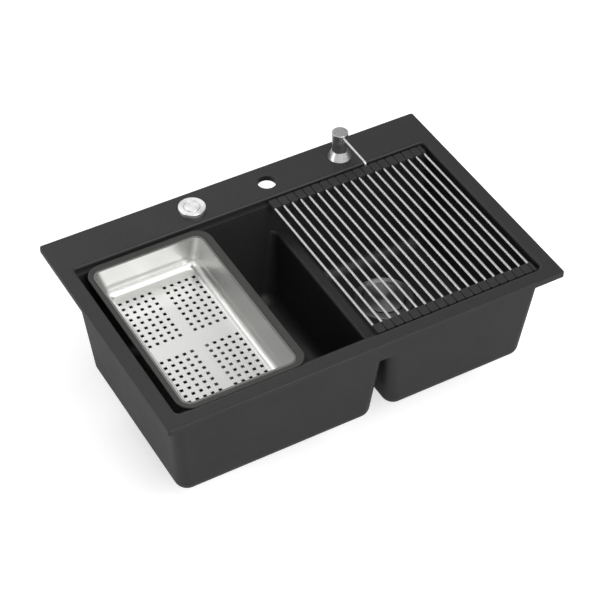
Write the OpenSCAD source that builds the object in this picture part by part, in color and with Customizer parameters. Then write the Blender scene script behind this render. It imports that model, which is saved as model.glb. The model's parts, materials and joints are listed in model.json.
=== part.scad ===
// Workstation kitchen sink: a moulded twin-bowl body with a perforated basket in a sliding frame,
// a roll-up drying mat, a soap dispenser, a push-button waste control and two strainer wastes.
// The origin is the centre of the rim's outline, on the worktop under the rim. +Z is up, -Y is the front.

/* [Rim] */
// Overall width of the rim
rim_w = 780; // [760:5:840]
// Overall depth of the rim, front to back
rim_d = 510; // [500:5:540]
// Thickness of the rim, from the worktop to its top
rim_t = 11; // [9.5:0.5:14]
// Corner radius of the rim in plan
rim_corner_r = 5; // [4:0.5:16]
// Rounding along the rim's top outer edge
rim_edge_r = 2; // [1:0.5:3.5]
// Width of the rim beside the opening, left and right
rim_side = 29; // [24:1:34]
// Width of the rim in front of the opening
rim_front = 29; // [24:1:34]
// Depth of the tap deck behind the opening
deck_d = 83.5; // [80:0.5:92]
// Rounding along the opening's top edge
opening_edge_r = 5; // [2:0.5:7]
// Corner radius of the opening at the front
opening_front_r = 13; // [9:0.5:20]
// Corner radius of the opening at the deck
opening_back_r = 6; // [5:0.5:12]
// Width of the ledge at the front and back of the opening
ledge_w = 9.4; // [8.5:0.1:11]

/* [Bowls] */
// Depth of the bowls below the rim's top
bowl_depth = 205; // [190:5:240]
// Wall of the bowls
wall_t = 8; // [6:0.5:10]
// Thickness of the bowl floors
floor_t = 10; // [8:0.5:12]
// How far the left wall leans in on its way down to the floor
left_lean = 11; // [4:1:20]
// How far the right wall leans in
right_lean = 28; // [10:1:34]
// How far the front wall leans in
front_lean = 2.6; // [1:0.2:8]
// How far the back wall leans in
back_lean = 37; // [20:1:42]
// Radius between the walls and the floor
floor_r = 25; // [16:1:28]
// Vertical corner radius of the bowls at the top
bowl_corner_r = 7; // [5:0.5:10]
// Place of the divider, right of the centre
divider_x = 43; // [30:1:56]
// Width of the divider's crest
crest_w = 24; // [20:1:28]
// Depth of the crest below the rim's top
crest_drop = 64; // [54:1:74]
// Rounding of the crest's shoulders
crest_r = 6; // [3:0.5:8]
// How far the divider spreads into the left bowl at the floor
divider_left_lean = 18; // [8:1:24]
// How far the divider spreads into the right bowl at the floor
divider_right_lean = 7; // [2:1:14]
// Thickness of the bridge between the bowls, under the crest
bridge_t = 10; // [8:0.5:14]
// Width of the notch under the bridge at its top
notch_top_w = 7; // [5:1:10]
// Width of the notch at the bottom of the bowls
notch_low_w = 27; // [20:1:30]

/* [Deck fittings] */
// Diameter of the three holes in the deck
deck_hole_d = 35; // [34.5:0.5:37]
// Distance of the holes' centres in front of the rim's back edge
hole_back = 44; // [41:1:49]
// Spacing of the waste control and the dispenser from the tap hole
hole_pitch = 155; // [140:1:158]
// Place of the tap hole, right of the centre
tap_x = 48; // [40:1:50]
// Diameter of the waste control's collar
control_d = 51; // [48:1:62]
// Height of the waste control's collar above the deck
control_h = 7; // [6.5:0.5:12]
// Diameter of the waste control's button
button_d = 29.5; // [28:0.25:31]
// Travel of the button
button_travel = 6; // [4:0.5:6.5]
// Diameter of the dispenser's collar
dispenser_d = 44.5; // [41:0.5:56]
// Height of the dispenser's conical collar
dispenser_collar_h = 16.5; // [6:0.5:20]
// Diameter of the dispenser's head
head_d = 30; // [28:0.25:30]
// Height of the head's top above the deck
head_h = 57.5; // [50:0.5:64]
// Travel of the head
pump_travel = 12; // [8:0.5:12]
// Outer diameter of the nozzle
nozzle_d = 4.8; // [4:0.2:6]
// Reach of the nozzle in front of the head's axis
nozzle_reach = 92; // [80:1:99]
// Diameter of the soap bottle
bottle_d = 66; // [56:1:70]
// Height of the soap bottle
bottle_h = 118; // [90:2:140]

/* [Wastes] */
// Diameter of the waste's flange
flange_d = 114; // [108:1:120]
// Diameter of the hole through the floor
waste_hole_d = 90; // [89:0.5:92]
// Distance of the wastes' centres in front of the floors' back edge
waste_back = 103.1; // [97:0.1:125]
// Shift of the left waste to the right of its floor's middle
waste_left_shift = 0.5; // [-12:0.5:12]
// Shift of the right waste to the right of its floor's middle
waste_right_shift = -2.5; // [-12:0.5:12]
// Outer diameter of the outlet's thread
outlet_d = 47.8; // [42:0.2:50]
// Length of the outlet
outlet_len = 24; // [20:1:36]
// Lift of the left plug when the button is pressed
plug_lift = 9; // [6:0.5:9]

/* [Basket] */
// Width of the basket's frame
frame_w = 242; // [236:1:250]
// Left edge of the frame, right of the opening's left edge
frame_gap = 13.5; // [13.5:0.5:20]
// Corner radius of the frame
frame_r = 30; // [24:1:36]
// Height of the frame above the ledge
frame_h = 3.3; // [3:0.1:4.5]
// Width of the frame's bevel round the basket
bevel_w = 4.5; // [3.5:0.1:6]
// Fall of that bevel
bevel_h = 1.6; // [1.2:0.1:1.8]
// Height of the frame's skirt between the ledges
skirt_h = 6; // [4:0.5:10]
// Width of the frame's flat band at its left end
band_left = 5; // [4.5:0.5:6]
// Width of the flat band at its right end
band_right = 9.5; // [7:0.5:12]
// Width of the flat band at the front and back
band_end = 7; // [6.5:0.5:8]
// Depth of the basket below the bevel
basket_depth = 58.5; // [45:0.5:70]
// How far the basket's side walls lean in
basket_side_lean = 17.3; // [8:0.1:18]
// How far the basket's end walls lean in
basket_end_lean = 7.3; // [4:0.1:12]
// Sheet of the basket
sheet_t = 1.2; // [0.8:0.1:1.6]
// Radius between the basket's walls and its floor
basket_floor_r = 10; // [6:0.5:10]
// Height of the pressed step in the basket's wall above its floor
bead_h = 18; // [14:1:26]
// Depth of that step
bead_w = 1.6; // [1:0.1:2.2]
// Side of the square drain holes
drain_hole = 6.2; // [4:0.1:7]
// Metal left between the outer drain holes and the flat floor's sides
drain_edge_side = 0.5; // [0.3:0.1:5]
// Metal left between the outer drain holes and the flat floor's ends
drain_edge_end = 15; // [4:0.5:22]

/* [Drying mat] */
// How far the mat reaches over the divider, left of its middle
mat_reach = 17.6; // [17:0.2:23]
// Gap between the mat and the opening's right side
mat_gap = 7.6; // [7.4:0.2:14]
// Diameter of the bars
bar_d = 5; // [4:0.1:6]
// Distance of each bar behind its segment's left edge
bar_inset = 3.6; // [3.4:0.1:8]
// Thickness of the mat's segments
mat_t = 8.2; // [7:0.1:10]
// Width of the front strip
strip_front = 20.5; // [16:0.5:24]
// Width of the back strip
strip_back = 23.2; // [16:0.2:26]
// Gap between two segments
seam = 0.3; // [0.3:0.05:0.6]
// Rounding of the segments' top edges
segment_edge_r = 1.4; // [0.6:0.1:1.6]
// Rounding of the segments' outer corners in plan
segment_corner_r = 3; // [1.5:0.1:3.2]

/* [Hidden] */
$fn = 64;
hull_fn = 32;
eps = 1;
clear = 0.3;

// Opening and ledge
open_x = rim_w / 2 - rim_side;
open_front = -rim_d / 2 + rim_front;
open_back = rim_d / 2 - deck_d;
inner_front = open_front + ledge_w;
inner_back = open_back - ledge_w;

// Levels
floor_z = rim_t - bowl_depth;
bottom_z = floor_z - floor_t;
crest_z = rim_t - crest_drop;
bridge_z = crest_z - bridge_t;

// Shoulder under the rim that carries the ledge
shoulder_w = 9;
shoulder_h = 8;
shoulder_r = 15;
shoulder_fall = 22;

// Notch between the bowls, outside
notch_shift = 2;
notch_left_share = 0.7;

// Outer corner radii of the body
outer_top_r = 15;
outer_low_r = floor_r;

// Deck fittings
hole_y = rim_d / 2 - hole_back;
control_x = tap_x - hole_pitch;
dispenser_x = tap_x + hole_pitch;
shank_d = deck_hole_d - 1;
shank_len = 40;
shank_step = 2;
shank_bore_r = 12;
nut_t = 10;
nut_d = 54;
washer_t = 3;
washer_d = 49;
fit_gap = 0.4;
seal_gap = 0.05;

// Control
button_proud = 0.3;
button_z = rim_t + control_h + button_proud;
button_t = 9.8;
stem_d = 8;
stem_stop = 1.5;
shank_floor = 6;
stem_len = button_z - button_t + shank_len - shank_floor - button_travel - stem_stop;
control_spring_d = 19;
control_wire = 1.4;
gland_d = 14;
gland_len = 12;
cable_d = 5;

// Dispenser
head_top = rim_t + head_h;
head_roof = 10.5;
head_wall = 2.5;
nozzle_below_top = 7;
nozzle_z = head_top - nozzle_below_top;
nozzle_wall = 0.9;
nozzle_bore = nozzle_d - 2 * nozzle_wall;
nozzle_bend = 6;
nozzle_drop = 5;
nozzle_root = 10;
rod_d = 8;
rod_bore = 4;
barrel_d = 21;
barrel_wall = 1.5;
barrel_floor = 2;
barrel_len = 44;
barrel_flange_t = 2.5;
head_stop = 0.5;
head_base = -shank_step + barrel_flange_t + head_stop + pump_travel;
piston_t = 6;
piston_z = -8;
pump_spring_d = 14;
pump_wire = 1.2;
nipple_d = 8;
nipple_len = 10;
dip_wall = 1;
dip_clear = 4;
neck_wall = 2.5;
neck_h = 20;
bottle_wall = 2;
bottle_edge = 3;
bottle_r = bottle_d / 2;
neck_below = 2;
bottle_top = -shank_len + neck_h - neck_below;
bottle_base = bottle_top - bottle_h - neck_h;

// Wastes, measured from the bowl's floor
rebate_gap = 1;
rebate_h = 2.5;
flange_t = 1.8;
dish_r = waste_hole_d / 2 - 2;
dish_t = 1;
dish_h = 30;
cup_r = waste_hole_d / 2 + 1;
cup_bore_r = cup_r - 2;
cup_h = 56;
cup_floor = 3;
cup_top = -floor_t - washer_t;
cup_rim_t = 3;
cup_rim_r = cup_r + 6;
outlet_wall = 4.9;
screw_r = 5;
screw_head_r = 9;
screw_head_h = 3.5;
screw_bore_r = 3.3;
screw_bite = 6;
pin_r = 3;
guide_w = 18;
guide_top = -36;
guide_h = 22;
guide_wall = 3;
guide_front = 20;
guide_back = 6;
rib_t = 4;
cam_w = 12;
cam_low = 5;
cam_top = plug_lift + 1;
cam_len = 24;
cover_r = dish_r - 4;
cover_t = 2;
strainer_r = cover_r - 6;
strainer_h = 22;
strainer_slots = 16;
post_r = 6;
screw_top = -dish_h + dish_t + clear + screw_head_h;
cutter = 20;

// Basket, frame and mat on the ledges
loose_front = 5;
loose_back = 4.3;
ledge_gap = clear;
frame_x0 = -open_x + frame_gap;
frame_x1 = frame_x0 + frame_w;
frame_y0 = open_front + loose_front;
frame_y1 = open_back - loose_back;
frame_top = ledge_gap + frame_h;
bevel_x0 = frame_x0 + band_left;
bevel_x1 = frame_x1 - band_right;
bevel_y0 = frame_y0 + band_end;
bevel_y1 = frame_y1 - band_end;
bevel_r = frame_r - band_end;
basket_x0 = bevel_x0 + bevel_w;
basket_x1 = bevel_x1 - bevel_w;
basket_y0 = bevel_y0 + bevel_w;
basket_y1 = bevel_y1 - bevel_w;
basket_r = bevel_r - bevel_w;
seat_w = 2.8;
skirt_gap = 2.4;
skirt_side = 2;
seat_z = frame_top - bevel_h - sheet_t - clear;
basket_lip = fit_gap;
basket_mouth = seat_w + fit_gap;
basket_base = seat_z - basket_depth;
step_z = basket_base + bead_h;
drain_cols = 5;
drain_rows = 9;
drain_mid_x = 2;
drain_mid_y = 3;

// Mat
bar_count = 19;
roll_count = 7;
mat_z = clear;
mat_top = mat_z + mat_t;
bar_z = mat_z + mat_t / 2;
last_segment_w = 8.14;
mat_x = divider_x - mat_reach;
mat_x1 = open_x - mat_gap;
bar_pitch = (mat_x1 - last_segment_w - mat_x) / (bar_count - 1);
mat_y0 = open_front + loose_front;
mat_y1 = open_back - loose_back;
bar_grip = 12;
bar_fit = 0.05;
web_t = 1.2;
web_rise = 0.6;

function two(n) = n < 10 ? str("0", n) : str(n);
function mix(a, b, t) = a + (b - a) * t;

// Filled rectangle between two corners with its own corner radius at the front and at the back
module plan(x0, x1, y0, y1, front_r, back_r) {
    mid = (y0 + y1) / 2;
    translate([x0 + front_r, y0]) square([x1 - x0 - 2 * front_r, mid - y0]);
    translate([x0 + back_r, mid]) square([x1 - x0 - 2 * back_r, y1 - mid]);
    translate([x0, y0 + front_r]) square([x1 - x0, y1 - y0 - front_r - back_r]);
    for (x = [x0 + front_r, x1 - front_r]) translate([x, y0 + front_r]) circle(front_r);
    for (x = [x0 + back_r, x1 - back_r]) translate([x, y1 - back_r]) circle(back_r);
}

module plate(x0, x1, y0, y1, r, z0, z1) {
    translate([0, 0, z0]) linear_extrude(z1 - z0) plan(x0, x1, y0, y1, r, r);
}

// Four upright discs at the corners of a rectangle, for the end of a tapered form
module corner_discs(x0, x1, y0, y1, r, z, h) {
    for (x = [x0 + r, x1 - r], y = [y0 + r, y1 - r])
        translate([x, y, z]) cylinder(r = r, h = h, $fn = hull_fn);
}

module corner_balls(x0, x1, y0, y1, r, z) {
    for (x = [x0 + r, x1 - r], y = [y0 + r, y1 - r])
        translate([x, y, z + r]) sphere(r, $fn = hull_fn);
}

// Tube or stepped ring from a list of outline points
module turned(points) {
    rotate_extrude() polygon(points);
}

// Places of the walls at a height: [left, right, front, back], leaning evenly from the ledge to the floor
function lean(z, grow) = let (t = -z / -floor_z)
    [-open_x + left_lean * t - grow, open_x - right_lean * t + grow,
     inner_front + front_lean * t - grow, inner_back - back_lean * t + grow];

function divider_left(z) = divider_x - crest_w / 2 - divider_left_lean * (crest_z - z) / (crest_z - floor_z);
function divider_right(z) = divider_x + crest_w / 2 + divider_right_lean * (crest_z - z) / (crest_z - floor_z);
function notch_spread(z) = (notch_low_w - notch_top_w) * (bridge_z - z) / (bridge_z - bottom_z);
function notch_left(z) = divider_x - notch_shift - notch_spread(z) * notch_left_share;
function notch_right(z) = divider_x - notch_shift + notch_top_w + notch_spread(z) * (1 - notch_left_share);

// Corner radii of the hollow and of the outside at a height
function hollow_r(z) = mix(bowl_corner_r, floor_r, -z / -(floor_z + floor_r));
function outside_r(z) = mix(outer_top_r, outer_low_r, -z / -(bottom_z + outer_low_r));

disc_h = 0.01;

// Places of the wastes, from the edges of the floors
floor_edges = lean(floor_z, 0);
waste_y = floor_edges[3] - waste_back;
waste_left_x = (floor_edges[0] + divider_left(floor_z)) / 2 + waste_left_shift;
waste_right_x = (divider_right(floor_z) + floor_edges[1]) / 2 + waste_right_shift;

// Rim: flat slab whose top outer edge is rounded by revolved and extruded quarter rounds
module rim_section(reach) {
    square([reach, rim_t - rim_edge_r]);
    square([reach - rim_edge_r, rim_t]);
    translate([reach - rim_edge_r, rim_t - rim_edge_r]) circle(rim_edge_r);
}

module rim_slab() {
    x = rim_w / 2 - rim_corner_r;
    y = rim_d / 2 - rim_corner_r;
    translate([-x, -y, 0]) cube([2 * x, 2 * y, rim_t]);
    for (s = [0, 1]) mirror([s, 0, 0]) {
        translate([x, y, 0]) rotate([90, 0, 0]) linear_extrude(2 * y) rim_section(rim_corner_r);
        for (m = [0, 1]) mirror([0, m, 0])
            translate([x, y, 0]) rotate_extrude(angle = 90) rim_section(rim_corner_r);
    }
    for (m = [0, 1]) mirror([0, m, 0])
        translate([-x, y, 0]) rotate([90, 0, 90]) linear_extrude(2 * x) rim_section(rim_corner_r);
}

// Outside of the bowls: shoulder, common upper part, then one tapered form for each bowl
module body_outside() {
    upper = lean(0, wall_t);
    bridge = lean(bridge_z, wall_t);
    low = lean(bottom_z + outer_low_r, wall_t);
    r0 = outside_r(0);
    r1 = outside_r(bridge_z);
    hull() {
        corner_discs(-open_x - shoulder_w, open_x + shoulder_w, open_front - shoulder_w,
                     open_back + shoulder_w, shoulder_r, -shoulder_h, shoulder_h + eps);
        fall = lean(-shoulder_fall, wall_t - 1);
        corner_discs(fall[0], fall[1], fall[2], fall[3], shoulder_r, -shoulder_fall, disc_h);
    }
    hull() {
        corner_discs(upper[0], upper[1], upper[2], upper[3], r0, -disc_h, disc_h);
        corner_discs(bridge[0], bridge[1], bridge[2], bridge[3], r1, bridge_z, disc_h);
    }
    hull() {
        corner_discs(bridge[0], notch_left(bridge_z), bridge[2], bridge[3], r1, bridge_z, disc_h);
        corner_balls(low[0], notch_left(bottom_z), low[2], low[3], outer_low_r, bottom_z);
    }
    hull() {
        corner_discs(notch_right(bridge_z), bridge[1], bridge[2], bridge[3], r1, bridge_z, disc_h);
        corner_balls(notch_right(bottom_z), low[1], low[2], low[3], outer_low_r, bottom_z);
    }
}

// Hollow of the body: opening, common upper part, then one tapered hollow for each bowl
module body_hollow() {
    top = lean(0, 0);
    crest = lean(crest_z, 0);
    low = lean(floor_z + floor_r, 0);
    r0 = hollow_r(0);
    r1 = hollow_r(crest_z);
    linear_extrude(rim_t + eps)
        plan(-open_x, open_x, open_front, open_back, opening_front_r, opening_back_r);
    hull() {
        corner_discs(top[0], top[1], top[2], top[3], r0, 0, disc_h);
        corner_discs(crest[0], crest[1], crest[2], crest[3], r1, crest_z, disc_h);
    }
    hull() {
        corner_discs(crest[0], divider_left(crest_z), crest[2], crest[3], r1, crest_z, disc_h);
        corner_balls(low[0], divider_left(floor_z), low[2], low[3], floor_r, floor_z);
    }
    hull() {
        corner_discs(divider_right(crest_z), crest[1], crest[2], crest[3], r1, crest_z, disc_h);
        corner_balls(divider_right(floor_z), low[1], low[2], low[3], floor_r, floor_z);
    }
}

// Material above a quarter round, used to round an edge
module round_off(r) {
    difference() {
        square([r, r + eps]);
        translate([r, 0]) circle(r);
    }
}

module opening_edge() {
    z = rim_t - opening_edge_r;
    for (s = [0, 1]) mirror([s, 0, 0]) {
        translate([open_x, open_back - opening_back_r, z]) rotate([90, 0, 0])
            linear_extrude(open_back - open_front - opening_back_r - opening_front_r)
                round_off(opening_edge_r);
        translate([open_x - opening_back_r, open_back - opening_back_r, z])
            rotate_extrude(angle = 90) translate([opening_back_r, 0]) round_off(opening_edge_r);
        translate([open_x - opening_front_r, open_front + opening_front_r, z]) rotate([0, 0, -90])
            rotate_extrude(angle = 90) translate([opening_front_r, 0]) round_off(opening_edge_r);
    }
    translate([-open_x + opening_back_r, open_back, z]) rotate([90, 0, 90])
        linear_extrude(2 * (open_x - opening_back_r)) round_off(opening_edge_r);
    translate([open_x - opening_front_r, open_front, z]) rotate([90, 0, -90])
        linear_extrude(2 * (open_x - opening_front_r)) round_off(opening_edge_r);
}

// Rounds one shoulder of the crest; angle is the lean of the wall below it
module crest_shoulder(edge_x, angle, side) {
    back = lean(crest_z - crest_r, 0)[3];
    front = lean(crest_z, 0)[2];
    centre = crest_r * (1 - sin(angle)) / cos(angle);
    translate([edge_x, back, crest_z - crest_r]) mirror([side, 0, 0]) rotate([90, 0, 0])
        linear_extrude(back - front) difference() {
            translate([-crest_r / 2, -crest_r * sin(angle)])
                square([centre + crest_r / 2, crest_r * (1 + sin(angle)) + eps]);
            translate([centre, 0]) circle(crest_r);
        }
}

module waste_cut(x) {
    translate([x, waste_y, floor_z - floor_t - eps]) cylinder(d = waste_hole_d, h = floor_t + 2 * eps);
    translate([x, waste_y, floor_z - rebate_h])
        cylinder(d = flange_d + 2 * rebate_gap, h = rebate_h + eps);
}

module sink_body() {
    drop = crest_z - floor_z;
    color("#2b2b2d") difference() {
        union() {
            rim_slab();
            body_outside();
        }
        union() body_hollow();
        opening_edge();
        crest_shoulder(divider_x - crest_w / 2, atan(divider_left_lean / drop), 0);
        crest_shoulder(divider_x + crest_w / 2, atan(divider_right_lean / drop), 1);
        for (x = [control_x, tap_x, dispenser_x])
            translate([x, hole_y, -eps]) cylinder(d = deck_hole_d, h = rim_t + 2 * eps);
        waste_cut(waste_left_x);
        waste_cut(waste_right_x);
    }
}

// Section of the frame from the basket's seat out to the flat band, cut as stacked steps and a bevel
module colander_frame() {
    skirt_y0 = inner_front + skirt_gap;
    skirt_y1 = inner_back - skirt_gap;
    color("#565650") difference() {
        union() {
            plate(frame_x0, frame_x1, frame_y0, frame_y1, frame_r, ledge_gap, frame_top);
            plate(bevel_x0 - skirt_side, bevel_x1 + skirt_side, skirt_y0, skirt_y1, bevel_r,
                  -skirt_h, ledge_gap + eps);
        }
        hull() {
            corner_discs(bevel_x0, bevel_x1, bevel_y0, bevel_y1, bevel_r, frame_top, eps);
            corner_discs(basket_x0, basket_x1, basket_y0, basket_y1, basket_r, frame_top - bevel_h, eps);
        }
        plate(basket_x0, basket_x1, basket_y0, basket_y1, basket_r, seat_z, frame_top);
        plate(basket_x0 + seat_w, basket_x1 - seat_w, basket_y0 + seat_w, basket_y1 - seat_w,
              basket_r - seat_w, -skirt_h - eps, frame_top);
    }
}

// Basket: two tapered bands with a pressed step between them, a rounded foot and a perforated floor
function basket_wall(z, inset) = let (t = (seat_z - z) / basket_depth)
    [basket_x0 + basket_mouth + basket_side_lean * t + inset,
     basket_x1 - basket_mouth - basket_side_lean * t - inset,
     basket_y0 + basket_mouth + basket_end_lean * t + inset,
     basket_y1 - basket_mouth - basket_end_lean * t - inset];

module basket_form(inset) {
    top_r = basket_r - basket_mouth - inset;
    mouth = basket_wall(seat_z, inset);
    step = basket_wall(step_z, inset);
    foot = basket_wall(basket_base + basket_floor_r, inset);
    step_r = top_r - 2;
    low_r = step_r - 1;
    hull() {
        corner_discs(mouth[0], mouth[1], mouth[2], mouth[3], top_r, seat_z + 2 * sheet_t, disc_h);
        corner_discs(step[0], step[1], step[2], step[3], step_r, step_z + inset, disc_h);
    }
    hull() {
        corner_discs(step[0] + bead_w, step[1] - bead_w, step[2] + bead_w, step[3] - bead_w,
                     low_r, step_z + inset, disc_h);
        corner_balls(foot[0] + bead_w, foot[1] - bead_w, foot[2] + bead_w, foot[3] - bead_w,
                     basket_floor_r - inset, basket_base + inset);
    }
}

module drain_holes(window) {
    x0 = window[0] + drain_edge_side;
    y0 = window[2] + drain_edge_end;
    pitch_x = (window[1] - drain_edge_side - drain_hole - x0) / (2 * drain_cols - 2 + drain_mid_x);
    pitch_y = (window[3] - drain_edge_end - drain_hole - y0) / (2 * drain_rows - 2 + drain_mid_y);
    for (half_x = [0, 1], half_y = [0, 1], i = [0:drain_cols - 1], j = [0:drain_rows - 1])
        translate([x0 + (i + half_x * (drain_cols - 1 + drain_mid_x)) * pitch_x,
                   y0 + (j + half_y * (drain_rows - 1 + drain_mid_y)) * pitch_y])
            square(drain_hole);
}

module colander_basket() {
    window = basket_wall(basket_base, basket_floor_r + bead_w);
    window_r = 2;
    color("#c9c9c9") {
        difference() {
            union() {
                basket_form(0);
                plate(basket_x0 + basket_lip, basket_x1 - basket_lip, basket_y0 + basket_lip,
                      basket_y1 - basket_lip, basket_r - basket_lip, seat_z + clear, seat_z + clear + sheet_t);
            }
            basket_form(sheet_t);
            plate(-open_x, open_x, open_front, open_back, basket_r, seat_z + clear + sheet_t, frame_top + eps);
            plate(window[0], window[1], window[2], window[3], window_r, basket_base - eps,
                  basket_base + 2 * sheet_t);
        }
        translate([0, 0, basket_base]) linear_extrude(sheet_t) difference() {
            plan(window[0], window[1], window[2], window[3], window_r, window_r);
            drain_holes(window);
        }
    }
}

// Left edge of a mat segment, counted from 1
function segment_x(i) = mat_x + (i - 1) * bar_pitch;
function segment_w(i) = (i < bar_count ? bar_pitch : mat_x1 - segment_x(i)) - seam;

// Upright outline of one segment, with rounded top edges and the bar's hole
module segment_outline(i) {
    w = segment_w(i);
    r = segment_edge_r;
    translate([segment_x(i) + seam / 2, mat_z]) difference() {
        union() {
            square([w, mat_t - r]);
            translate([r, 0]) square([w - 2 * r, mat_t]);
            for (x = [r, w - r]) translate([x, mat_t - r]) circle(r);
        }
        translate([bar_inset - seam / 2, bar_z - mat_z]) circle(d = bar_d + 2 * bar_fit);
    }
}

// Segment outlines from one to another, joined by a thin web when there is more than one
module strip(first, last, y0, y1) {
    r = segment_corner_r;
    intersection() {
        translate([0, y1, 0]) rotate([90, 0, 0]) linear_extrude(y1 - y0) {
            for (i = [first:last]) segment_outline(i);
            if (last > first)
                translate([segment_x(first) + seam, mat_z + web_rise])
                    square([segment_x(last) - segment_x(first) + seam, web_t]);
        }
        for (i = [first:last])
            translate([0, 0, mat_z - eps]) linear_extrude(mat_t + 2 * eps)
                translate([segment_x(i), 0])
                    if (y0 < 0) plan(0, segment_w(i) + seam, y0, y1 + r, r, r);
                    else plan(0, segment_w(i) + seam, y0 - r, y1, r, r);
    }
}

module mat_caps(first, last) {
    color("#4f4f4f") {
        strip(first, last, mat_y0, mat_y0 + strip_front);
        strip(first, last, mat_y1 - strip_back, mat_y1);
    }
}

module mat_bar(i) {
    y0 = mat_y0 + strip_front - bar_grip;
    y1 = mat_y1 - strip_back + bar_grip;
    color("#d5d5d5") translate([segment_x(i) + bar_inset, y1, bar_z]) rotate([90, 0, 0])
        cylinder(d = bar_d, h = y1 - y0);
}

// Round deck fittings share a threaded shank, a washer and a back nut
module back_nut(x) {
    color("#3a3a3c") translate([x, hole_y, -washer_t - nut_t]) difference() {
        cylinder(d = nut_d, h = nut_t, $fn = 6);
        translate([0, 0, -eps]) cylinder(d = shank_d + 2 * clear, h = nut_t + 2 * eps);
    }
}

module deck_washer(x) {
    color("#202020") translate([x, hole_y, -washer_t]) difference() {
        cylinder(d = washer_d, h = washer_t);
        translate([0, 0, -eps]) cylinder(d = shank_d + 2 * clear, h = washer_t + 2 * eps);
    }
}

module dispenser_collar() {
    top_r = head_d / 2 + fit_gap;
    edge = 1;
    top_w = 0.6;
    color("#c4c4c4") translate([dispenser_x, hole_y, rim_t])
        turned([[top_r, 0], [dispenser_d / 2, 0], [dispenser_d / 2, edge],
                [top_r + top_w, dispenser_collar_h], [top_r, dispenser_collar_h]]);
}

module dispenser_shank() {
    r = shank_d / 2;
    top_r = head_d / 2 + fit_gap;
    color("#8c8c8e") translate([dispenser_x, hole_y, 0])
        turned([[shank_bore_r, -shank_len], [r, -shank_len], [r, rim_t], [top_r, rim_t],
                [top_r, -shank_step], [shank_bore_r, -shank_step]]);
}

module dispenser_head() {
    r = head_d / 2;
    edge = 0.8;
    color("#b4b4b4") translate([dispenser_x, hole_y, 0]) difference() {
        turned([[0, head_top - head_roof], [r - head_wall, head_top - head_roof], [r - head_wall, head_base],
                [r, head_base], [r, head_top - edge], [r - edge, head_top], [0, head_top]]);
        translate([0, -r - eps, nozzle_z]) rotate([-90, 0, 0])
            cylinder(d = nozzle_d + 2 * bar_fit, h = nozzle_root + eps);
        translate([0, 0, head_top - head_roof - eps])
            cylinder(d = rod_bore, h = nozzle_z - head_top + head_roof + eps);
        translate([0, -r, nozzle_z]) rotate([-90, 0, 0]) cylinder(d = nozzle_bore, h = r);
    }
}

module nozzle_ring() {
    difference() {
        circle(d = nozzle_d);
        circle(d = nozzle_bore);
    }
}

module dispenser_nozzle() {
    bend_y = -nozzle_reach + nozzle_bend;
    root_y = -head_d / 2 + nozzle_root;
    color("#c4c4c4") translate([dispenser_x, hole_y, nozzle_z]) {
        translate([0, root_y, 0]) rotate([90, 0, 0]) linear_extrude(root_y - bend_y) nozzle_ring();
        translate([0, bend_y, -nozzle_bend]) rotate([90, 0, -90])
            rotate_extrude(angle = 90) translate([nozzle_bend, 0]) nozzle_ring();
        translate([0, -nozzle_reach, -nozzle_bend - nozzle_drop]) linear_extrude(nozzle_drop) nozzle_ring();
    }
}

module pump_barrel() {
    r = barrel_d / 2;
    bore = r - barrel_wall;
    base = -shank_step - barrel_len;
    color("#d8d8d8") translate([dispenser_x, hole_y, 0])
        turned([[rod_bore / 2, base - nipple_len], [nipple_d / 2, base - nipple_len], [nipple_d / 2, base],
                [r, base], [r, -shank_step], [head_d / 2, -shank_step],
                [head_d / 2, -shank_step + barrel_flange_t],
                [bore, -shank_step + barrel_flange_t], [bore, base + barrel_floor],
                [rod_bore / 2, base + barrel_floor]]);
}

module pump_piston() {
    bore = barrel_d / 2 - barrel_wall - fit_gap;
    color("#e0e0e0") translate([dispenser_x, hole_y, 0])
        turned([[rod_bore / 2, piston_z - piston_t], [bore, piston_z - piston_t], [bore, piston_z],
                [rod_d / 2, piston_z], [rod_d / 2, head_top - head_roof],
                [rod_bore / 2, head_top - head_roof]]);
}

module pump_spring() {
    r = pump_spring_d / 2;
    base = -shank_step - barrel_len + barrel_floor;
    color("#9a9a9a") translate([dispenser_x, hole_y, 0])
        turned([[r - pump_wire, base], [r, base], [r, piston_z - piston_t],
                [r - pump_wire, piston_z - piston_t]]);
}

module dip_tube() {
    bore = nipple_d / 2 + seal_gap;
    top = -shank_step - barrel_len;
    base = bottle_base + bottle_wall + dip_clear;
    color("#e8e8e8") translate([dispenser_x, hole_y, 0])
        turned([[bore, base], [bore + dip_wall, base], [bore + dip_wall, top], [bore, top]]);
}

module dispenser_bottle() {
    neck = shank_d / 2 + clear;
    shoulder = bottle_top - neck_h;
    slope = 0.7;
    fall = (bottle_r - neck) * slope;
    w = bottle_wall;
    color("#d0d0d0") translate([dispenser_x, hole_y, 0])
        turned([[0, bottle_base], [bottle_r - bottle_edge, bottle_base],
                [bottle_r, bottle_base + bottle_edge], [bottle_r, shoulder - fall],
                [neck + neck_wall, shoulder], [neck + neck_wall, bottle_top],
                [neck, bottle_top], [neck, shoulder - w], [bottle_r - w, shoulder - fall - w],
                [bottle_r - w, bottle_base + w], [0, bottle_base + w]]);
}

module control_collar() {
    r = control_d / 2;
    bore = button_d / 2 + fit_gap;
    edge = 1;
    color("#d0d0d0") translate([control_x, hole_y, rim_t])
        turned([[bore, 0], [r, 0], [r, control_h - edge], [r - edge, control_h], [bore, control_h]]);
}

module control_shank() {
    r = shank_d / 2;
    bore = button_d / 2 + fit_gap;
    color("#8c8c8e") translate([control_x, hole_y, 0])
        turned([[cable_d / 2, -shank_len - gland_len], [gland_d / 2, -shank_len - gland_len],
                [gland_d / 2, -shank_len], [r, -shank_len], [r, rim_t], [bore, rim_t], [bore, -shank_step],
                [shank_bore_r, -shank_step], [shank_bore_r, -shank_len + shank_floor],
                [cable_d / 2, -shank_len + shank_floor]]);
}

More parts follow.
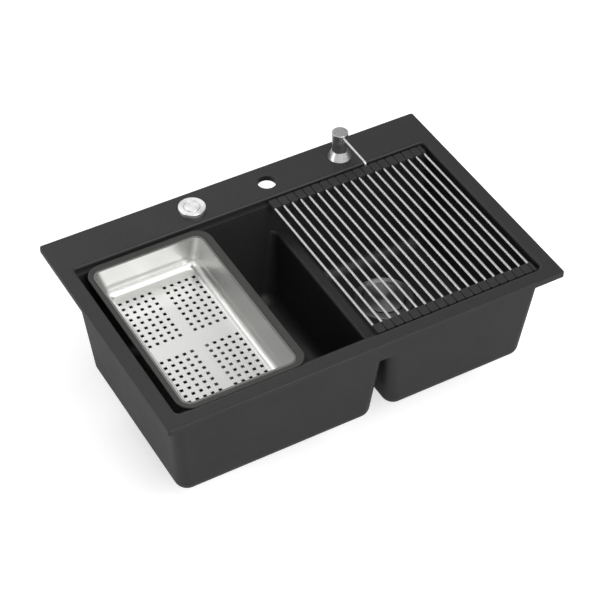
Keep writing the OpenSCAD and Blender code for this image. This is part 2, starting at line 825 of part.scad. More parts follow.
module control_button() {
    r = button_d / 2;
    edge = 0.6;
    socket = 3;
    color("#dcdcdc") translate([control_x, hole_y, 0]) difference() {
        turned([[0, button_z - button_t], [r, button_z - button_t], [r, button_z - edge], [r - edge, button_z],
                [0, button_z]]);
        translate([0, 0, button_z - button_t - eps]) cylinder(d = cable_d, h = socket + eps);
    }
    color("#a8a8a8") translate([control_x, hole_y, 0])
        turned([[cable_d / 2, button_z - button_t - stem_len], [stem_d / 2, button_z - button_t - stem_len],
                [stem_d / 2, button_z - button_t], [cable_d / 2, button_z - button_t]]);
}

module control_spring() {
    r = control_spring_d / 2;
    color("#9a9a9a") translate([control_x, hole_y, 0])
        turned([[r - control_wire, -shank_len + shank_floor], [r, -shank_len + shank_floor],
                [r, button_z - button_t], [r - control_wire, button_z - button_t]]);
}

// Waste fittings, drawn with the bowl's floor at zero
module at_waste(x) {
    translate([x, waste_y, floor_z]) children();
}

module waste_flange(x) {
    r = flange_d / 2;
    foot_r = 3;
    edge_h = 0.8;
    edge_w = 2;
    slot_start = dish_r - 22;
    slot_len = 14;
    slot_w = 6;
    color("#bdbdbd") at_waste(x) difference() {
        turned([[screw_r + clear, -dish_h], [dish_r - foot_r, -dish_h], [dish_r, -dish_h + foot_r],
                [dish_r, -rebate_h], [r, -rebate_h], [r, -rebate_h + edge_h],
                [r - edge_w, -rebate_h + flange_t], [dish_r - dish_t, -rebate_h + flange_t],
                [dish_r - dish_t, -dish_h + foot_r + dish_t],
                [dish_r - foot_r - dish_t, -dish_h + dish_t], [screw_r + clear, -dish_h + dish_t]]);
        for (a = [0:30:330]) rotate(a)
            translate([slot_start, -slot_w / 2, -dish_h - eps]) cube([slot_len, slot_w, dish_t + 2 * eps]);
    }
}

module waste_gasket(x) {
    color("#1c1c1c") at_waste(x)
        turned([[cup_bore_r, -floor_t - washer_t], [cup_rim_r, -floor_t - washer_t], [cup_rim_r, -floor_t],
                [cup_bore_r, -floor_t]]);
}

// Lower cup with its outlet; the left one has a guide for the cam and a cable gland at the back
module waste_body(x, remote) {
    base = cup_top - cup_h;
    bore = outlet_d / 2 - outlet_wall;
    boss_top = -dish_h - clear;
    gland_root = 4;
    color("#2c2c2e") at_waste(x) difference() {
        union() {
            turned([[bore, base - outlet_len], [outlet_d / 2, base - outlet_len], [outlet_d / 2, base],
                    [cup_r, base], [cup_r, cup_top - cup_rim_t], [cup_rim_r, cup_top - cup_rim_t],
                    [cup_rim_r, cup_top], [cup_bore_r, cup_top], [cup_bore_r, base + cup_floor],
                    [bore, base + cup_floor]]);
            intersection() {
                translate([0, 0, base]) cylinder(r = cup_r - eps, h = cup_h);
                if (remote)
                    translate([-guide_w / 2, -cup_r, guide_top - guide_h]) cube([guide_w, 2 * cup_r, guide_h]);
                else for (a = [0, 90]) rotate(a)
                    translate([-cup_r, -rib_t / 2, guide_top - guide_h]) cube([2 * cup_r, rib_t, guide_h]);
            }
            translate([0, 0, guide_top - eps]) cylinder(r = screw_head_r, h = boss_top - guide_top + eps);
            if (!remote) translate([0, 0, guide_top - guide_h]) cylinder(r = screw_head_r, h = guide_h);
            if (remote) translate([0, cup_r - gland_root, guide_top - guide_h / 2]) rotate([-90, 0, 0])
                cylinder(d = gland_d, h = gland_len + gland_root);
        }
        translate([0, 0, guide_top - (remote ? guide_wall : screw_bite)])
            cylinder(r = screw_r + seal_gap, h = boss_top - guide_top + screw_bite + eps);
        if (remote) {
            translate([-cam_w / 2 - clear, -cup_r + guide_front, guide_top - guide_h + guide_wall])
                cube([cam_w + 2 * clear, 2 * cup_r - guide_front - guide_back, guide_h - 2 * guide_wall]);
            translate([0, 0, guide_top - guide_h / 2]) rotate([-90, 0, 0])
                cylinder(d = cable_d, h = cup_r + gland_len + eps);
        }
    }
}

// Hollow centre screw on the left, plain on the right
module waste_screw(x, remote) {
    base = guide_top - (remote ? guide_wall : screw_bite) + clear;
    head_base = -dish_h + dish_t + clear;
    head_top = head_base + screw_head_h;
    key_d = 8;
    key_h = 2.3;
    color("#b0b0b0") at_waste(x) difference() {
        turned([[0, base], [screw_r, base], [screw_r, head_base], [screw_head_r, head_base],
                [screw_head_r, head_top], [0, head_top]]);
        if (remote) translate([0, 0, base - eps]) cylinder(r = screw_bore_r, h = dish_h);
        else translate([0, 0, head_top - key_h]) cylinder(d = key_d, h = key_h + eps, $fn = 6);
    }
}

// Strainer plug: cover over a slotted cup; the loose one stands on the screw's head by its own post
module waste_plug(x, post) {
    base = -strainer_h;
    top = 0.6;
    foot = screw_top + clear;
    sheet = 1.2;
    cover_edge = 0.8;
    low_edge = 2;
    slot_w = 3;
    slot_end = 5;
    color("#c2c2c2") at_waste(x) difference() {
        turned(concat(
            post ? [[0, foot], [post_r, foot], [post_r, base]] : [[0, base]],
            [[strainer_r - low_edge, base], [strainer_r, base + low_edge], [strainer_r, top - cover_t],
             [cover_r, top - cover_t], [cover_r, top - cover_edge], [cover_r - sheet, top], [0, top],
             [0, top - cover_t], [strainer_r - sheet, top - cover_t], [strainer_r - sheet, base + low_edge],
             [strainer_r - 2 * sheet, base + sheet], [0, base + sheet]]));
        for (i = [0:strainer_slots - 1]) rotate(i * 360 / strainer_slots)
            translate([strainer_r - 2 * low_edge, -slot_w / 2, base + slot_end])
                cube([4 * low_edge, slot_w, strainer_h - 2 * slot_end]);
    }
}

// Height of the pin's slanted foot on its axis, just above the cam's slope at rest
pin_foot = guide_top - guide_h + guide_wall + clear + cam_low + fit_gap;

module waste_left_lift_pin() {
    color("#a0a0a0") at_waste(waste_left_x) difference() {
        turned([[0, pin_foot - pin_r - 1], [pin_r, pin_foot - pin_r - 1], [pin_r, screw_top + clear],
                [post_r, screw_top + clear], [post_r, -strainer_h - clear], [0, -strainer_h - clear]]);
        translate([0, 0, pin_foot]) rotate([45, 0, 0])
            translate([-cutter / 2, -cutter / 2, -cutter]) cube([cutter, cutter, cutter]);
    }
}

// Wedge that the cable pushes forwards under the pin
module waste_left_cam() {
    low = guide_top - guide_h + guide_wall + clear;
    rise = cam_low + cam_top;
    color("#e2e2e2") at_waste(waste_left_x)
        translate([-cam_w / 2, 0, low]) rotate([90, 0, 90]) linear_extrude(cam_w)
            polygon([[-cam_low, 0], [cam_len, 0], [cam_len, rise], [cam_top, rise]]);
}

sink_body();
colander_frame();
colander_basket();
for (i = [1:bar_count]) mat_bar(i);
for (i = [1:roll_count]) mat_caps(i, i);
mat_caps(roll_count + 1, bar_count);  // mat_caps_fixed
dispenser_collar();
dispenser_head();
dispenser_nozzle();
dispenser_shank();
deck_washer(dispenser_x);  // dispenser_washer
back_nut(dispenser_x);  // dispenser_nut
dispenser_bottle();
pump_barrel();
pump_piston();
pump_spring();
dip_tube();
control_collar();
control_button();
control_shank();
deck_washer(control_x);  // control_washer
back_nut(control_x);  // control_nut
control_spring();
waste_flange(waste_left_x);  // waste_left_flange
waste_gasket(waste_left_x);  // waste_left_gasket
waste_body(waste_left_x, true);  // waste_left_body
waste_screw(waste_left_x, true);  // waste_left_screw
waste_plug(waste_left_x, false);  // waste_left_plug
waste_flange(waste_right_x);  // waste_right_flange
waste_gasket(waste_right_x);  // waste_right_gasket
waste_body(waste_right_x, false);  // waste_right_body
waste_screw(waste_right_x, false);  // waste_right_screw
waste_plug(waste_right_x, true);  // waste_right_plug
waste_left_lift_pin();
waste_left_cam();
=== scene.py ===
"""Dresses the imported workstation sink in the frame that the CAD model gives.

Its sub-assemblies are the moulded twin-bowl body, the perforated basket in its sliding frame, the roll-up
drying mat, the fittings on the deck and the wastes.
"""
from __future__ import annotations

import sys

import json
import logging
import math
from collections.abc import Sequence
from dataclasses import dataclass
from enum import Enum

import bmesh
import bpy
import numpy as np
from mathutils import Matrix, Vector
from mathutils.geometry import delaunay_2d_cdt

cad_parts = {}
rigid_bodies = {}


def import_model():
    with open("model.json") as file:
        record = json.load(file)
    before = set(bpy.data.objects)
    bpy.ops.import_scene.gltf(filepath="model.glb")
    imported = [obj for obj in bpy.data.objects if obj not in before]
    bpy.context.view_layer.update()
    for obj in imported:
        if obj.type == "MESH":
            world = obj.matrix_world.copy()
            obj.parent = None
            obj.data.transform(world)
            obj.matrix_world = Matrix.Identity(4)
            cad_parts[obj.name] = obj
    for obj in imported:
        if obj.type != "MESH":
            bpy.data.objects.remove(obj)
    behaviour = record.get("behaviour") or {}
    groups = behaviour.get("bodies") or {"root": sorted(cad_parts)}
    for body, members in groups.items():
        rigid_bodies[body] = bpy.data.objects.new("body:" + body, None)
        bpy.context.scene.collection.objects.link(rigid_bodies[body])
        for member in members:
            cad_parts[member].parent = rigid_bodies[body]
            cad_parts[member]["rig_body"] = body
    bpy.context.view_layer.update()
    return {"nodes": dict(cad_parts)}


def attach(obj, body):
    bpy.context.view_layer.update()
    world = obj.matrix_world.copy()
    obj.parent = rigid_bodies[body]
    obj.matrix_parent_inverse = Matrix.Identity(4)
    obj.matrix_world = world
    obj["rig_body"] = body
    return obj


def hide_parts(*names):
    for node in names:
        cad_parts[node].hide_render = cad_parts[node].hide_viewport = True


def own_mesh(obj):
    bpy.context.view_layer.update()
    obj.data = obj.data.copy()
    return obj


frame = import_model()

log = logging.getLogger("sink")
MM = 0.001
# Points of a mesh that are closer than this, in metres, become one
MERGE = 4e-6
# Turn in degrees from which an edge is shaded sharp
SHARP = 32.0
Points = np.ndarray
Place = tuple[float, float, float]
Colour = tuple[float, float, float]


class Slot(Enum):
    """The record's material slots."""

    COMPOSITE = "composite"
    FRAME = "frame"
    BASKET = "basket_steel"
    BARS = "bar_steel"
    SILICONE = "silicone"
    STEEL = "steel"
    TUBE = "chrome_tube"
    ZINC = "zinc"
    SEAL = "seal"
    NYLON = "nylon"
    BOTTLE = "bottle"
    PUMP = "pump_plastic"
    SPRING = "spring_steel"
    WASTE = "waste_steel"


# Curves and surfaces


def column(value: float | Points, rows: int) -> Points:
    """Spreads a value, or one value for each ring, into a column of that many rows."""
    return np.broadcast_to(np.atleast_1d(np.asarray(value, float))[:, None], (rows, 1))


def corner_columns(value: float | Points, rows: int) -> Points:
    """Spreads corner radii into four columns, for right front, right back, left back and left front."""
    radii = np.asarray(value, float)
    if radii.ndim == 1:
        radii = radii[:, None]
    return np.broadcast_to(radii, (rows, 4))


def rounded_rings(
    sides: Sequence[float | Points],
    rx: float | Points,
    ry: float | Points,
    z: float | Points,
    segments: int = 12,
    across: Sequence[float | Points] = (),
    along: Sequence[float | Points] = (),
) -> Points:
    """Works out closed rings of a rounded rectangle, one for each height.

    Each corner is a quarter ellipse, its centre plus (rx cos a, ry sin a), and straight sides join the
    corners. A ring runs from the right front corner up the right side, along the back, down the left side and
    along the front.

    Args:
        sides: Places of the left, right, front and back sides at each height.
        rx: Corner radii along X, one number, one for each ring, or a row of four for each ring.
        ry: Corner radii along Y, in the same form.
        z: Heights of the rings.
        segments: Steps in each corner.
        across: Places along X of extra points on the front and back sides.
        along: Places along Y of extra points on the left and right sides.

    Returns:
        An array of rings by points by three, in millimetres.
    """
    heights = np.atleast_1d(np.asarray(z, float))
    rows = len(heights)
    x0, x1, y0, y1 = (column(side, rows) for side in sides)
    wide, deep = corner_columns(rx, rows), corner_columns(ry, rows)
    turn = np.linspace(0.0, math.pi / 2, segments + 1)[None, :]
    extra_x = [column(x, rows) for x in across]
    extra_y = [column(y, rows) for y in along]
    corners = ((x1, y0, 1, -1), (x1, y1, 1, 1), (x0, y1, -1, 1), (x0, y0, -1, -1))
    xs: list[Points] = []
    ys: list[Points] = []
    for k, (side_x, side_y, sx, sy) in enumerate(corners):
        a = turn + math.radians(90 * k - 90)
        r, s = wide[:, k : k + 1], deep[:, k : k + 1]
        xs.append(side_x - sx * r + r * np.cos(a))
        ys.append(side_y - sy * s + s * np.sin(a))
        if k % 2 == 0:
            row = extra_y if k == 0 else extra_y[::-1]
            xs += [np.broadcast_to(side_x, y.shape) for y in row]
            ys += row
        else:
            row = extra_x[::-1] if k == 1 else extra_x
            ys += [np.broadcast_to(side_y, x.shape) for x in row]
            xs += row
    x, y = np.concatenate(xs, axis=1), np.concatenate(ys, axis=1)
    return np.stack([x, y, np.broadcast_to(heights[:, None], x.shape)], axis=2)


def rounded_profile(points: Sequence[Sequence[float]], closed: bool = True, steps: int = 5) -> Points:
    """Rounds the corners of an outline.

    Each corner becomes a circular arc, written as a rational quadratic curve from one tangent point to the
    other whose middle weight is the cosine of half the turn.

    Args:
        points: Corners as (r, z, radius) in order.
        closed: Whether the last corner joins the first.
        steps: Steps in each arc.

    Returns:
        The outline's points, in millimetres.
    """
    table = np.asarray(points, float)
    p, radius = table[:, :2], table[:, 2].copy()
    if not closed:
        radius[[0, -1]] = 0.0
    back, ahead = np.roll(p, 1, axis=0) - p, np.roll(p, -1, axis=0) - p
    back /= np.maximum(np.linalg.norm(back, axis=1, keepdims=True), 1e-9)
    ahead /= np.maximum(np.linalg.norm(ahead, axis=1, keepdims=True), 1e-9)
    inner = np.arccos(np.clip((back * ahead).sum(axis=1), -1.0, 1.0))
    reach = radius / np.maximum(np.tan(inner / 2), 1e-6)
    weight = np.sin(inner / 2)[:, None, None]
    start, end = (p + back * reach[:, None])[:, None], (p + ahead * reach[:, None])[:, None]
    s = np.linspace(0.0, 1.0, steps + 1)[None, :, None]
    top = (1 - s) ** 2 * start + 2 * s * (1 - s) * weight * p[:, None] + s**2 * end
    return (top / ((1 - s) ** 2 + 2 * s * (1 - s) * weight + s**2)).reshape(-1, 2)


def turned(profile: Points, centre: tuple[float, float], segments: int = 96) -> Points:
    """Carries a profile round an upright axis: each point goes to (x + r cos a, y + r sin a, z)."""
    a = np.linspace(0.0, 2 * math.pi, segments, endpoint=False)[None, :]
    r, z = profile[:, :1], profile[:, 1:2]
    x, y = centre[0] + r * np.cos(a), centre[1] + r * np.sin(a)
    return np.stack([x, y, np.broadcast_to(z, x.shape)], axis=2)


def tube(path: Points, radius: float | Points, side: Sequence[float], segments: int = 20) -> Points:
    """Carries a circle along a path.

    At each point the circle lies across the path's tangent, spanned by the tangent's cross product with a
    fixed side direction and by the cross product of those two.

    Args:
        path: Points of the centreline.
        radius: Radius of the circle, or one for each point.
        side: Direction that the path never runs along.
        segments: Points round the circle.

    Returns:
        An array of rings by points by three, in millimetres.
    """
    tangent = np.gradient(path, axis=0)
    tangent /= np.linalg.norm(tangent, axis=1, keepdims=True)
    u = np.cross(tangent, np.asarray(side, float)[None, :])
    u /= np.linalg.norm(u, axis=1, keepdims=True)
    v = np.cross(tangent, u)
    a = np.linspace(0.0, 2 * math.pi, segments, endpoint=False)[None, :, None]
    r = column(radius, len(path))[:, :, None]
    return path[:, None] + r * (np.cos(a) * u[:, None] + np.sin(a) * v[:, None])


def quads(rows: int, cols: int, closed_rows: bool = False) -> Points:
    """Works out the faces of a grid of rings.

    Each face joins a point to its neighbour round the ring and to the two beside them on the next ring.

    Args:
        rows: Number of rings.
        cols: Points in each ring.
        closed_rows: Whether the last ring joins the first.

    Returns:
        Four point numbers for each face.
    """
    i = np.arange(rows if closed_rows else rows - 1)[:, None]
    j = np.arange(cols)[None, :]
    near, far = i * cols, ((i + 1) % rows) * cols
    following = (j + 1) % cols
    return np.stack([near + j, near + following, far + following, far + j], axis=-1).reshape(-1, 4)


def enclosed(points: Points, loops: Sequence[Points]) -> Points:
    """Tells which points lie in a region with holes.

    A line from the point along +X crosses the edges of all the loops an odd number of times where it does.

    Args:
        points: Places in the plane.
        loops: Outer loop and loops of the holes.

    Returns:
        True for each point inside.
    """
    start = np.concatenate(loops)[:, :2]
    end = np.concatenate([np.roll(loop, -1, axis=0) for loop in loops])[:, :2]
    x, y = points[:, :1], points[:, 1:2]
    spans = (start[:, 1] > y) != (end[:, 1] > y)
    rise = np.where(start[:, 1] == end[:, 1], 1.0, end[:, 1] - start[:, 1])
    crossing = start[:, 0] + (end[:, 0] - start[:, 0]) * (y - start[:, 1]) / rise
    return (spans & (x < crossing)).sum(axis=1) % 2 == 1


class Shell:
    """The surface of one piece while it is worked out, in millimetres."""

    def __init__(self) -> None:
        """Starts with no surface."""
        self.points: list[Points] = []
        self.faces: list[Points] = []
        self.count = 0

    def add(self, points: Points, faces: Points) -> Shell:
        """Adds points and the faces that join them, one row of point numbers for each face."""
        flat = np.asarray(points, float).reshape(-1, 3)
        self.faces.append(np.asarray(faces, int) + self.count)
        self.points.append(flat)
        self.count += len(flat)
        return self

    def loft(self, rings: Points, closed_rows: bool = False) -> Shell:
        """Joins rings one after another."""
        return self.add(rings, quads(rings.shape[0], rings.shape[1], closed_rows))

    def cap(self, ring: Points) -> Shell:
        """Closes a ring with one flat face."""
        return self.add(ring, np.arange(len(ring))[None])

    def solid(self, rings: Points) -> Shell:
        """Joins rings one after another and closes both ends."""
        return self.loft(rings).cap(rings[0][::-1]).cap(rings[-1])

    def fill(self, *loops: Points) -> Shell:
        """Fills the flat region between an outer loop and the loops of its holes.

        The region is cut into triangles between the loops, and those whose middle lies in a hole are left
        out.

        Args:
            loops: Closed loops of points at one height.

        Returns:
            The shell itself.
        """
        kept = [loop[np.linalg.norm(loop - np.roll(loop, 1, axis=0), axis=1) > 1e-4] for loop in loops]
        flat = np.concatenate(kept)
        starts = np.cumsum([0] + [len(loop) for loop in kept])
        rows = [np.arange(a, b) for a, b in zip(starts[:-1], starts[1:])]
        edges = np.concatenate([np.stack([row, np.roll(row, -1)], axis=1) for row in rows]).tolist()
        made = delaunay_2d_cdt([Vector(p) for p in flat[:, :2].tolist()], edges, [], 1, 1e-5)
        verts = np.array([tuple(v) for v in made[0]], float).reshape(-1, 2)
        faces = np.array(made[2])
        inside = enclosed(verts[faces].mean(axis=1), kept)
        return self.add(np.column_stack([verts, np.full(len(verts), flat[0, 2])]), faces[inside])

    def mesh(self, name: str, angle: float = SHARP) -> bpy.types.Mesh:
        """Turns the surface into a mesh.

        Args:
            name: Name of the mesh.
            angle: Edges that turn more than this many degrees are shaded sharp.

        Returns:
            The mesh in metres, with seams and poles merged and faces outwards.
        """
        corners = np.concatenate([rows.ravel() for rows in self.faces])
        sizes = np.concatenate([np.full(len(rows), rows.shape[1]) for rows in self.faces])
        mesh = bpy.data.meshes.new(name)
        mesh.vertices.add(self.count)
        mesh.vertices.foreach_set("co", (np.concatenate(self.points) * MM).ravel())
        mesh.loops.add(len(corners))
        mesh.loops.foreach_set("vertex_index", corners)
        mesh.polygons.add(len(sizes))
        mesh.polygons.foreach_set("loop_start", np.concatenate([[0], np.cumsum(sizes)[:-1]]))
        mesh.update(calc_edges=True)
        work = bmesh.new()
        work.from_mesh(mesh)
        bmesh.ops.remove_doubles(work, verts=work.verts, dist=MERGE)
        bmesh.ops.dissolve_degenerate(work, edges=work.edges, dist=MERGE / 4)
        bmesh.ops.recalc_face_normals(work, faces=work.faces)
        loose = sum(1 for edge in work.edges if len(edge.link_faces) != 2)
        if loose:
            log.warning("%s has %d open edges", name, loose)
        work.to_mesh(mesh)
        work.free()
        mesh.shade_smooth()
        mesh.set_sharp_from_angle(angle=math.radians(angle))
        return mesh

    def piece(
        self,
        name: str,
        material: bpy.types.Material,
        body: str,
        slot: Slot,
        nodes: Sequence[str],
        angle: float = SHARP,
        weighted: bool = True,
    ) -> bpy.types.Object:
        """Turns the surface into a mesh and puts it in the scene as a piece of the same name.

        Args:
            name: Name of the piece.
            material: Its finish.
            body: CAD body that it moves with.
            slot: The record's material slot; not used.
            nodes: CAD nodes that it replaces.
            angle: Edges that turn more than this many degrees are shaded sharp.
            weighted: Whether large faces set the shading of the edges beside them.

        Returns:
            The new object.
        """
        return new_piece(name, self.mesh(name, angle), material, body, nodes, weighted)


def linked(name: str, data: bpy.types.ID) -> bpy.types.Object:
    """Puts a new object that shows the data in the scene."""
    obj = bpy.data.objects.new(name, data)
    bpy.context.scene.collection.objects.link(obj)
    return obj


def new_piece(
    name: str,
    mesh: bpy.types.Mesh,
    material: bpy.types.Material,
    body: str,
    stands_for: Sequence[str],
    weighted: bool = True,
) -> bpy.types.Object:
    """Puts a finished mesh in the scene.

    Args:
        name: Name of the piece.
        mesh: Its mesh, with its place in it.
        material: Its finish.
        body: CAD body that it moves with.
        stands_for: CAD nodes that it replaces.
        weighted: Whether large faces set the shading of the edges beside them.

    Returns:
        The new object.
    """
    obj = linked(name, mesh)
    mesh.materials.append(material)
    if weighted:
        modifier = obj.modifiers.new("flat_faces_first", "WEIGHTED_NORMAL")
        modifier.keep_sharp = True
    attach(obj, body)
    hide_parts(*stands_for)
    log.info("%s: %d faces on %s", name, len(mesh.polygons), body)
    return obj


def smooth_copy(node: str, material: bpy.types.Material) -> bpy.types.Object:
    """Replaces a CAD node by a copy whose loose triangles are merged, so that its round faces shade smoothly.

    Args:
        node: Name of the CAD node.
        material: Its finish.

    Returns:
        The new object.
    """
    source = frame["nodes"][node]
    mesh = source.data.copy()
    mesh.materials.clear()
    work = bmesh.new()
    work.from_mesh(mesh)
    bmesh.ops.remove_doubles(work, verts=work.verts, dist=MERGE)
    work.to_mesh(mesh)
    work.free()
    mesh.shade_smooth()
    mesh.set_sharp_from_angle(angle=math.radians(SHARP))
    return new_piece(f"{node}_finished", mesh, material, source["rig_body"], [node])


# Shader building


class Graph:
    """A node tree with short calls for adding and joining its nodes."""

    def __init__(self, tree: bpy.types.NodeTree) -> None:
        """Starts on an emptied tree."""
        self.tree = tree
        tree.nodes.clear()

    def node(
        self, kind: str, values: dict[str | int, object] | None = None, **settings: object
    ) -> bpy.types.Node:
        """Adds a node.

        Args:
            kind: Blender's name for the node without its common prefix.
            values: Input values, or output sockets to link to the inputs.
            settings: Properties of the node.

        Returns:
            The new node.
        """
        prefix = "" if kind.startswith("NodeGroup") else "ShaderNode"
        made = self.tree.nodes.new(prefix + kind)
        for key, value in settings.items():
            setattr(made, key, value)
        self.give(made, values or {})
        return made

    def give(self, node: bpy.types.Node, values: dict[str | int, object]) -> None:
        """Sets the inputs of a node, or links them where the value is an output socket."""
        for key, value in values.items():
            if isinstance(value, bpy.types.NodeSocket):
                self.tree.links.new(value, node.inputs[key])
            else:
                node.inputs[key].default_value = value

    def join(self, node: bpy.types.Node, *sockets: bpy.types.NodeSocket) -> None:
        """Links sockets to the first inputs of a node, in order."""
        for target, socket in zip(node.inputs, sockets):
            self.tree.links.new(socket, target)

    def math(self, operation: str, a: object, b: object) -> bpy.types.NodeSocket:
        """Output of a Math node on two values or sockets."""
        return self.node("Math", {0: a, 1: b}, operation=operation).outputs[0]

    def times(self, a: object, b: object) -> bpy.types.NodeSocket:
        """Product of two values or sockets."""
        return self.math("MULTIPLY", a, b)

    def plus(self, a: object, b: object) -> bpy.types.NodeSocket:
        """Sum of two values or sockets."""
        return self.math("ADD", a, b)

    def vector(self, operation: str, a: object, b: object) -> bpy.types.NodeSocket:
        """First output of a Vector Math node on two values or sockets."""
        return self.node("VectorMath", {0: a, 1: b}, operation=operation).outputs[0]

    def mix(self, factor: object, a: object, b: object) -> bpy.types.NodeSocket:
        """Colour output of a Mix node, with factor, first and second colour."""
        return self.node("Mix", {0: factor, 6: a, 7: b}, data_type="RGBA").outputs[2]

    def ranged(
        self, value: object, low: float, high: float, to_low: float = 0.0, to_high: float = 1.0
    ) -> bpy.types.NodeSocket:
        """A value carried from one range to another, and held at its ends."""
        return self.node("MapRange", {0: value, 1: low, 2: high, 3: to_low, 4: to_high}).outputs[0]

    def noise(self, vector: object, scale: object, detail: float, rough: float) -> bpy.types.NodeSocket:
        """Factor output of a Noise texture."""
        values = {"Vector": vector, "Scale": scale, "Detail": detail, "Roughness": rough}
        return self.node("TexNoise", values).outputs[0]


class Effects:
    """The effects that more than one finish uses, each a shader group built once."""

    # Noise values between which the lines and the grain's shade go from none to full
    LINES = (0.34, 0.66)
    SHADE = (0.32, 0.68)
    # Distance from the middle of a grain's cell up to which its fleck shows
    FLECK_REACH = 0.42

    def __init__(self) -> None:
        """Builds every shared group."""
        self.grain = self.build_grain()
        self.streaks = self.build_streaks()
        self.rings = self.build_rings()
        self.smudges = self.build_smudges()

    def start(
        self, name: str, outputs: Sequence[str], **inputs: float | Place
    ) -> tuple[Graph, bpy.types.bpy_prop_collection, bpy.types.Node]:
        """Starts a group that reads a place.

        Args:
            name: Name of the group.
            outputs: Names of its value outputs.
            inputs: Default value of each further input, where an underscore stands for a space.

        Returns:
            Its graph, the sockets of its input node with the place first, and its output node.
        """
        tree = bpy.data.node_groups.new(name, "ShaderNodeTree")
        for label, default in {"Vector": (0.0, 0.0, 0.0), **inputs}.items():
            kind = "NodeSocketFloat" if isinstance(default, float) else "NodeSocketVector"
            socket = tree.interface.new_socket(name=label.replace("_", " "), in_out="INPUT", socket_type=kind)
            socket.default_value = default
        for label in outputs:
            tree.interface.new_socket(name=label, in_out="OUTPUT", socket_type="NodeSocketFloat")
        graph = Graph(tree)
        return graph, graph.node("NodeGroupInput").outputs, graph.node("NodeGroupOutput")

    def build_grain(self) -> bpy.types.NodeTree:
        """Mineral or moulded grain: soft shade, hard flecks and the height of the surface."""
        results = ("Shade", "Fleck", "Height")
        graph, given, out = self.start("moulded_grain", results, Scale=900.0, Fleck_Share=0.1)
        cells = graph.node("TexVoronoi", {"Vector": given[0], "Scale": given[1]})
        pick = graph.node("SeparateColor", {0: cells.outputs["Color"]})
        fleck = graph.math("LESS_THAN", pick.outputs[0], given[2])
        round_fleck = graph.math("LESS_THAN", cells.outputs["Distance"], self.FLECK_REACH)
        fine = graph.noise(given[0], graph.times(given[1], 0.6), detail=6.0, rough=0.62)
        height = graph.plus(graph.times(cells.outputs["Distance"], 0.5), fine)
        graph.join(out, graph.ranged(fine, *self.SHADE), graph.times(fleck, round_fleck), height)
        return graph.tree

    def build_streaks(self) -> bpy.types.NodeTree:
        """Straight brushed lines: noise drawn out by the stretch, with longer lines over shorter ones."""
        stretch = (20.0, 1500.0, 1500.0)
        graph, given, out = self.start("brushed_streaks", ("Streak", "Height"), Stretch=stretch)
        drawn = graph.vector("MULTIPLY", given[0], given[1])
        long = graph.noise(drawn, 1.0, detail=3.0, rough=0.6)
        denser = graph.vector("MULTIPLY", drawn, (3.1, 0.43, 0.43))
        short = graph.noise(denser, 1.0, detail=2.0, rough=0.5)
        both = graph.plus(graph.times(long, 0.65), graph.times(short, 0.35))
        graph.join(out, graph.ranged(both, *self.LINES), both)
        return graph.tree

    def build_rings(self) -> bpy.types.NodeTree:
        """Turned lines: noise that reads only the distance from the upright axis and the height."""
        graph, given, out = self.start("turned_lines", ("Streak", "Height"), Scale=2500.0)
        place = graph.node("SeparateXYZ", {0: given[0]})
        flat = graph.node("CombineXYZ", {0: place.outputs[0], 1: place.outputs[1]})
        radius = graph.node("VectorMath", {0: flat.outputs[0]}, operation="LENGTH").outputs["Value"]
        around = graph.node("CombineXYZ", {0: radius, 1: place.outputs[2]})
        lines = graph.noise(around.outputs[0], given[1], detail=2.0, rough=0.5)
        graph.join(out, graph.ranged(lines, *self.LINES), lines)
        return graph.tree

    def build_smudges(self) -> bpy.types.NodeTree:
        """Faint wiped marks and water traces: slow noise with a few sharper islands."""
        graph, given, out = self.start("wiped_marks", ("Mark", "Trace"), Scale=14.0)
        slow = graph.noise(given[0], given[1], detail=4.0, rough=0.6)
        sharp = graph.noise(given[0], graph.times(given[1], 3.3), detail=6.0, rough=0.65)
        mark, trace = graph.ranged(slow, low=0.35, high=0.7), graph.ranged(sharp, low=0.58, high=0.7)
        graph.join(out, mark, trace)
        return graph.tree


def grey(value: float) -> Colour:
    """The neutral colour of that value."""
    return value, value, value


def rgba(colour: Colour, factor: float = 1.0, lift: float = 0.0) -> tuple[float, float, float, float]:
    """The colour with full opacity, each part times the factor plus the lift and at most white."""
    return (*(min(1.0, factor * c + lift) for c in colour), 1.0)


class Finish:
    """Common start of every finish: a material with object coordinates and a Principled shader."""

    def __init__(self, name: str, centre: Place = (0.0, 0.0, 0.0)) -> None:
        """Makes the material.

        Args:
            name: Name of the material.
            centre: Place in millimetres that the pattern is centred on.
        """
        self.material = bpy.data.materials.new(name)
        self.material.use_nodes = True
        self.graph = Graph(self.material.node_tree)
        place = self.graph.node("TexCoord").outputs["Object"]
        shift = tuple(-MM * c for c in centre)
        self.place = self.graph.node("Mapping", {0: place, 1: shift}).outputs[0]
        self.shader = self.graph.node("BsdfPrincipled")
        self.graph.join(self.graph.node("OutputMaterial"), self.shader.outputs[0])

    def group(self, tree: bpy.types.NodeTree, values: dict[str, object]) -> bpy.types.Node:
        """Places a shared group with its values."""
        return self.graph.node("Group", {"Vector": self.place, **values}, node_tree=tree)

    def set(self, **values: object) -> None:
        """Sets or links the shader's inputs, where an underscore stands for a space."""
        self.graph.give(self.shader, {key.replace("_", " "): value for key, value in values.items()})

    def relief(self, height: bpy.types.NodeSocket, distance: float, strength: float) -> None:
        """Gives the shader a bump from a height, with its distance in metres."""
        bump = self.graph.node("Bump", {"Strength": strength, "Distance": distance, "Height": height})
        self.set(Normal=bump.outputs[0])


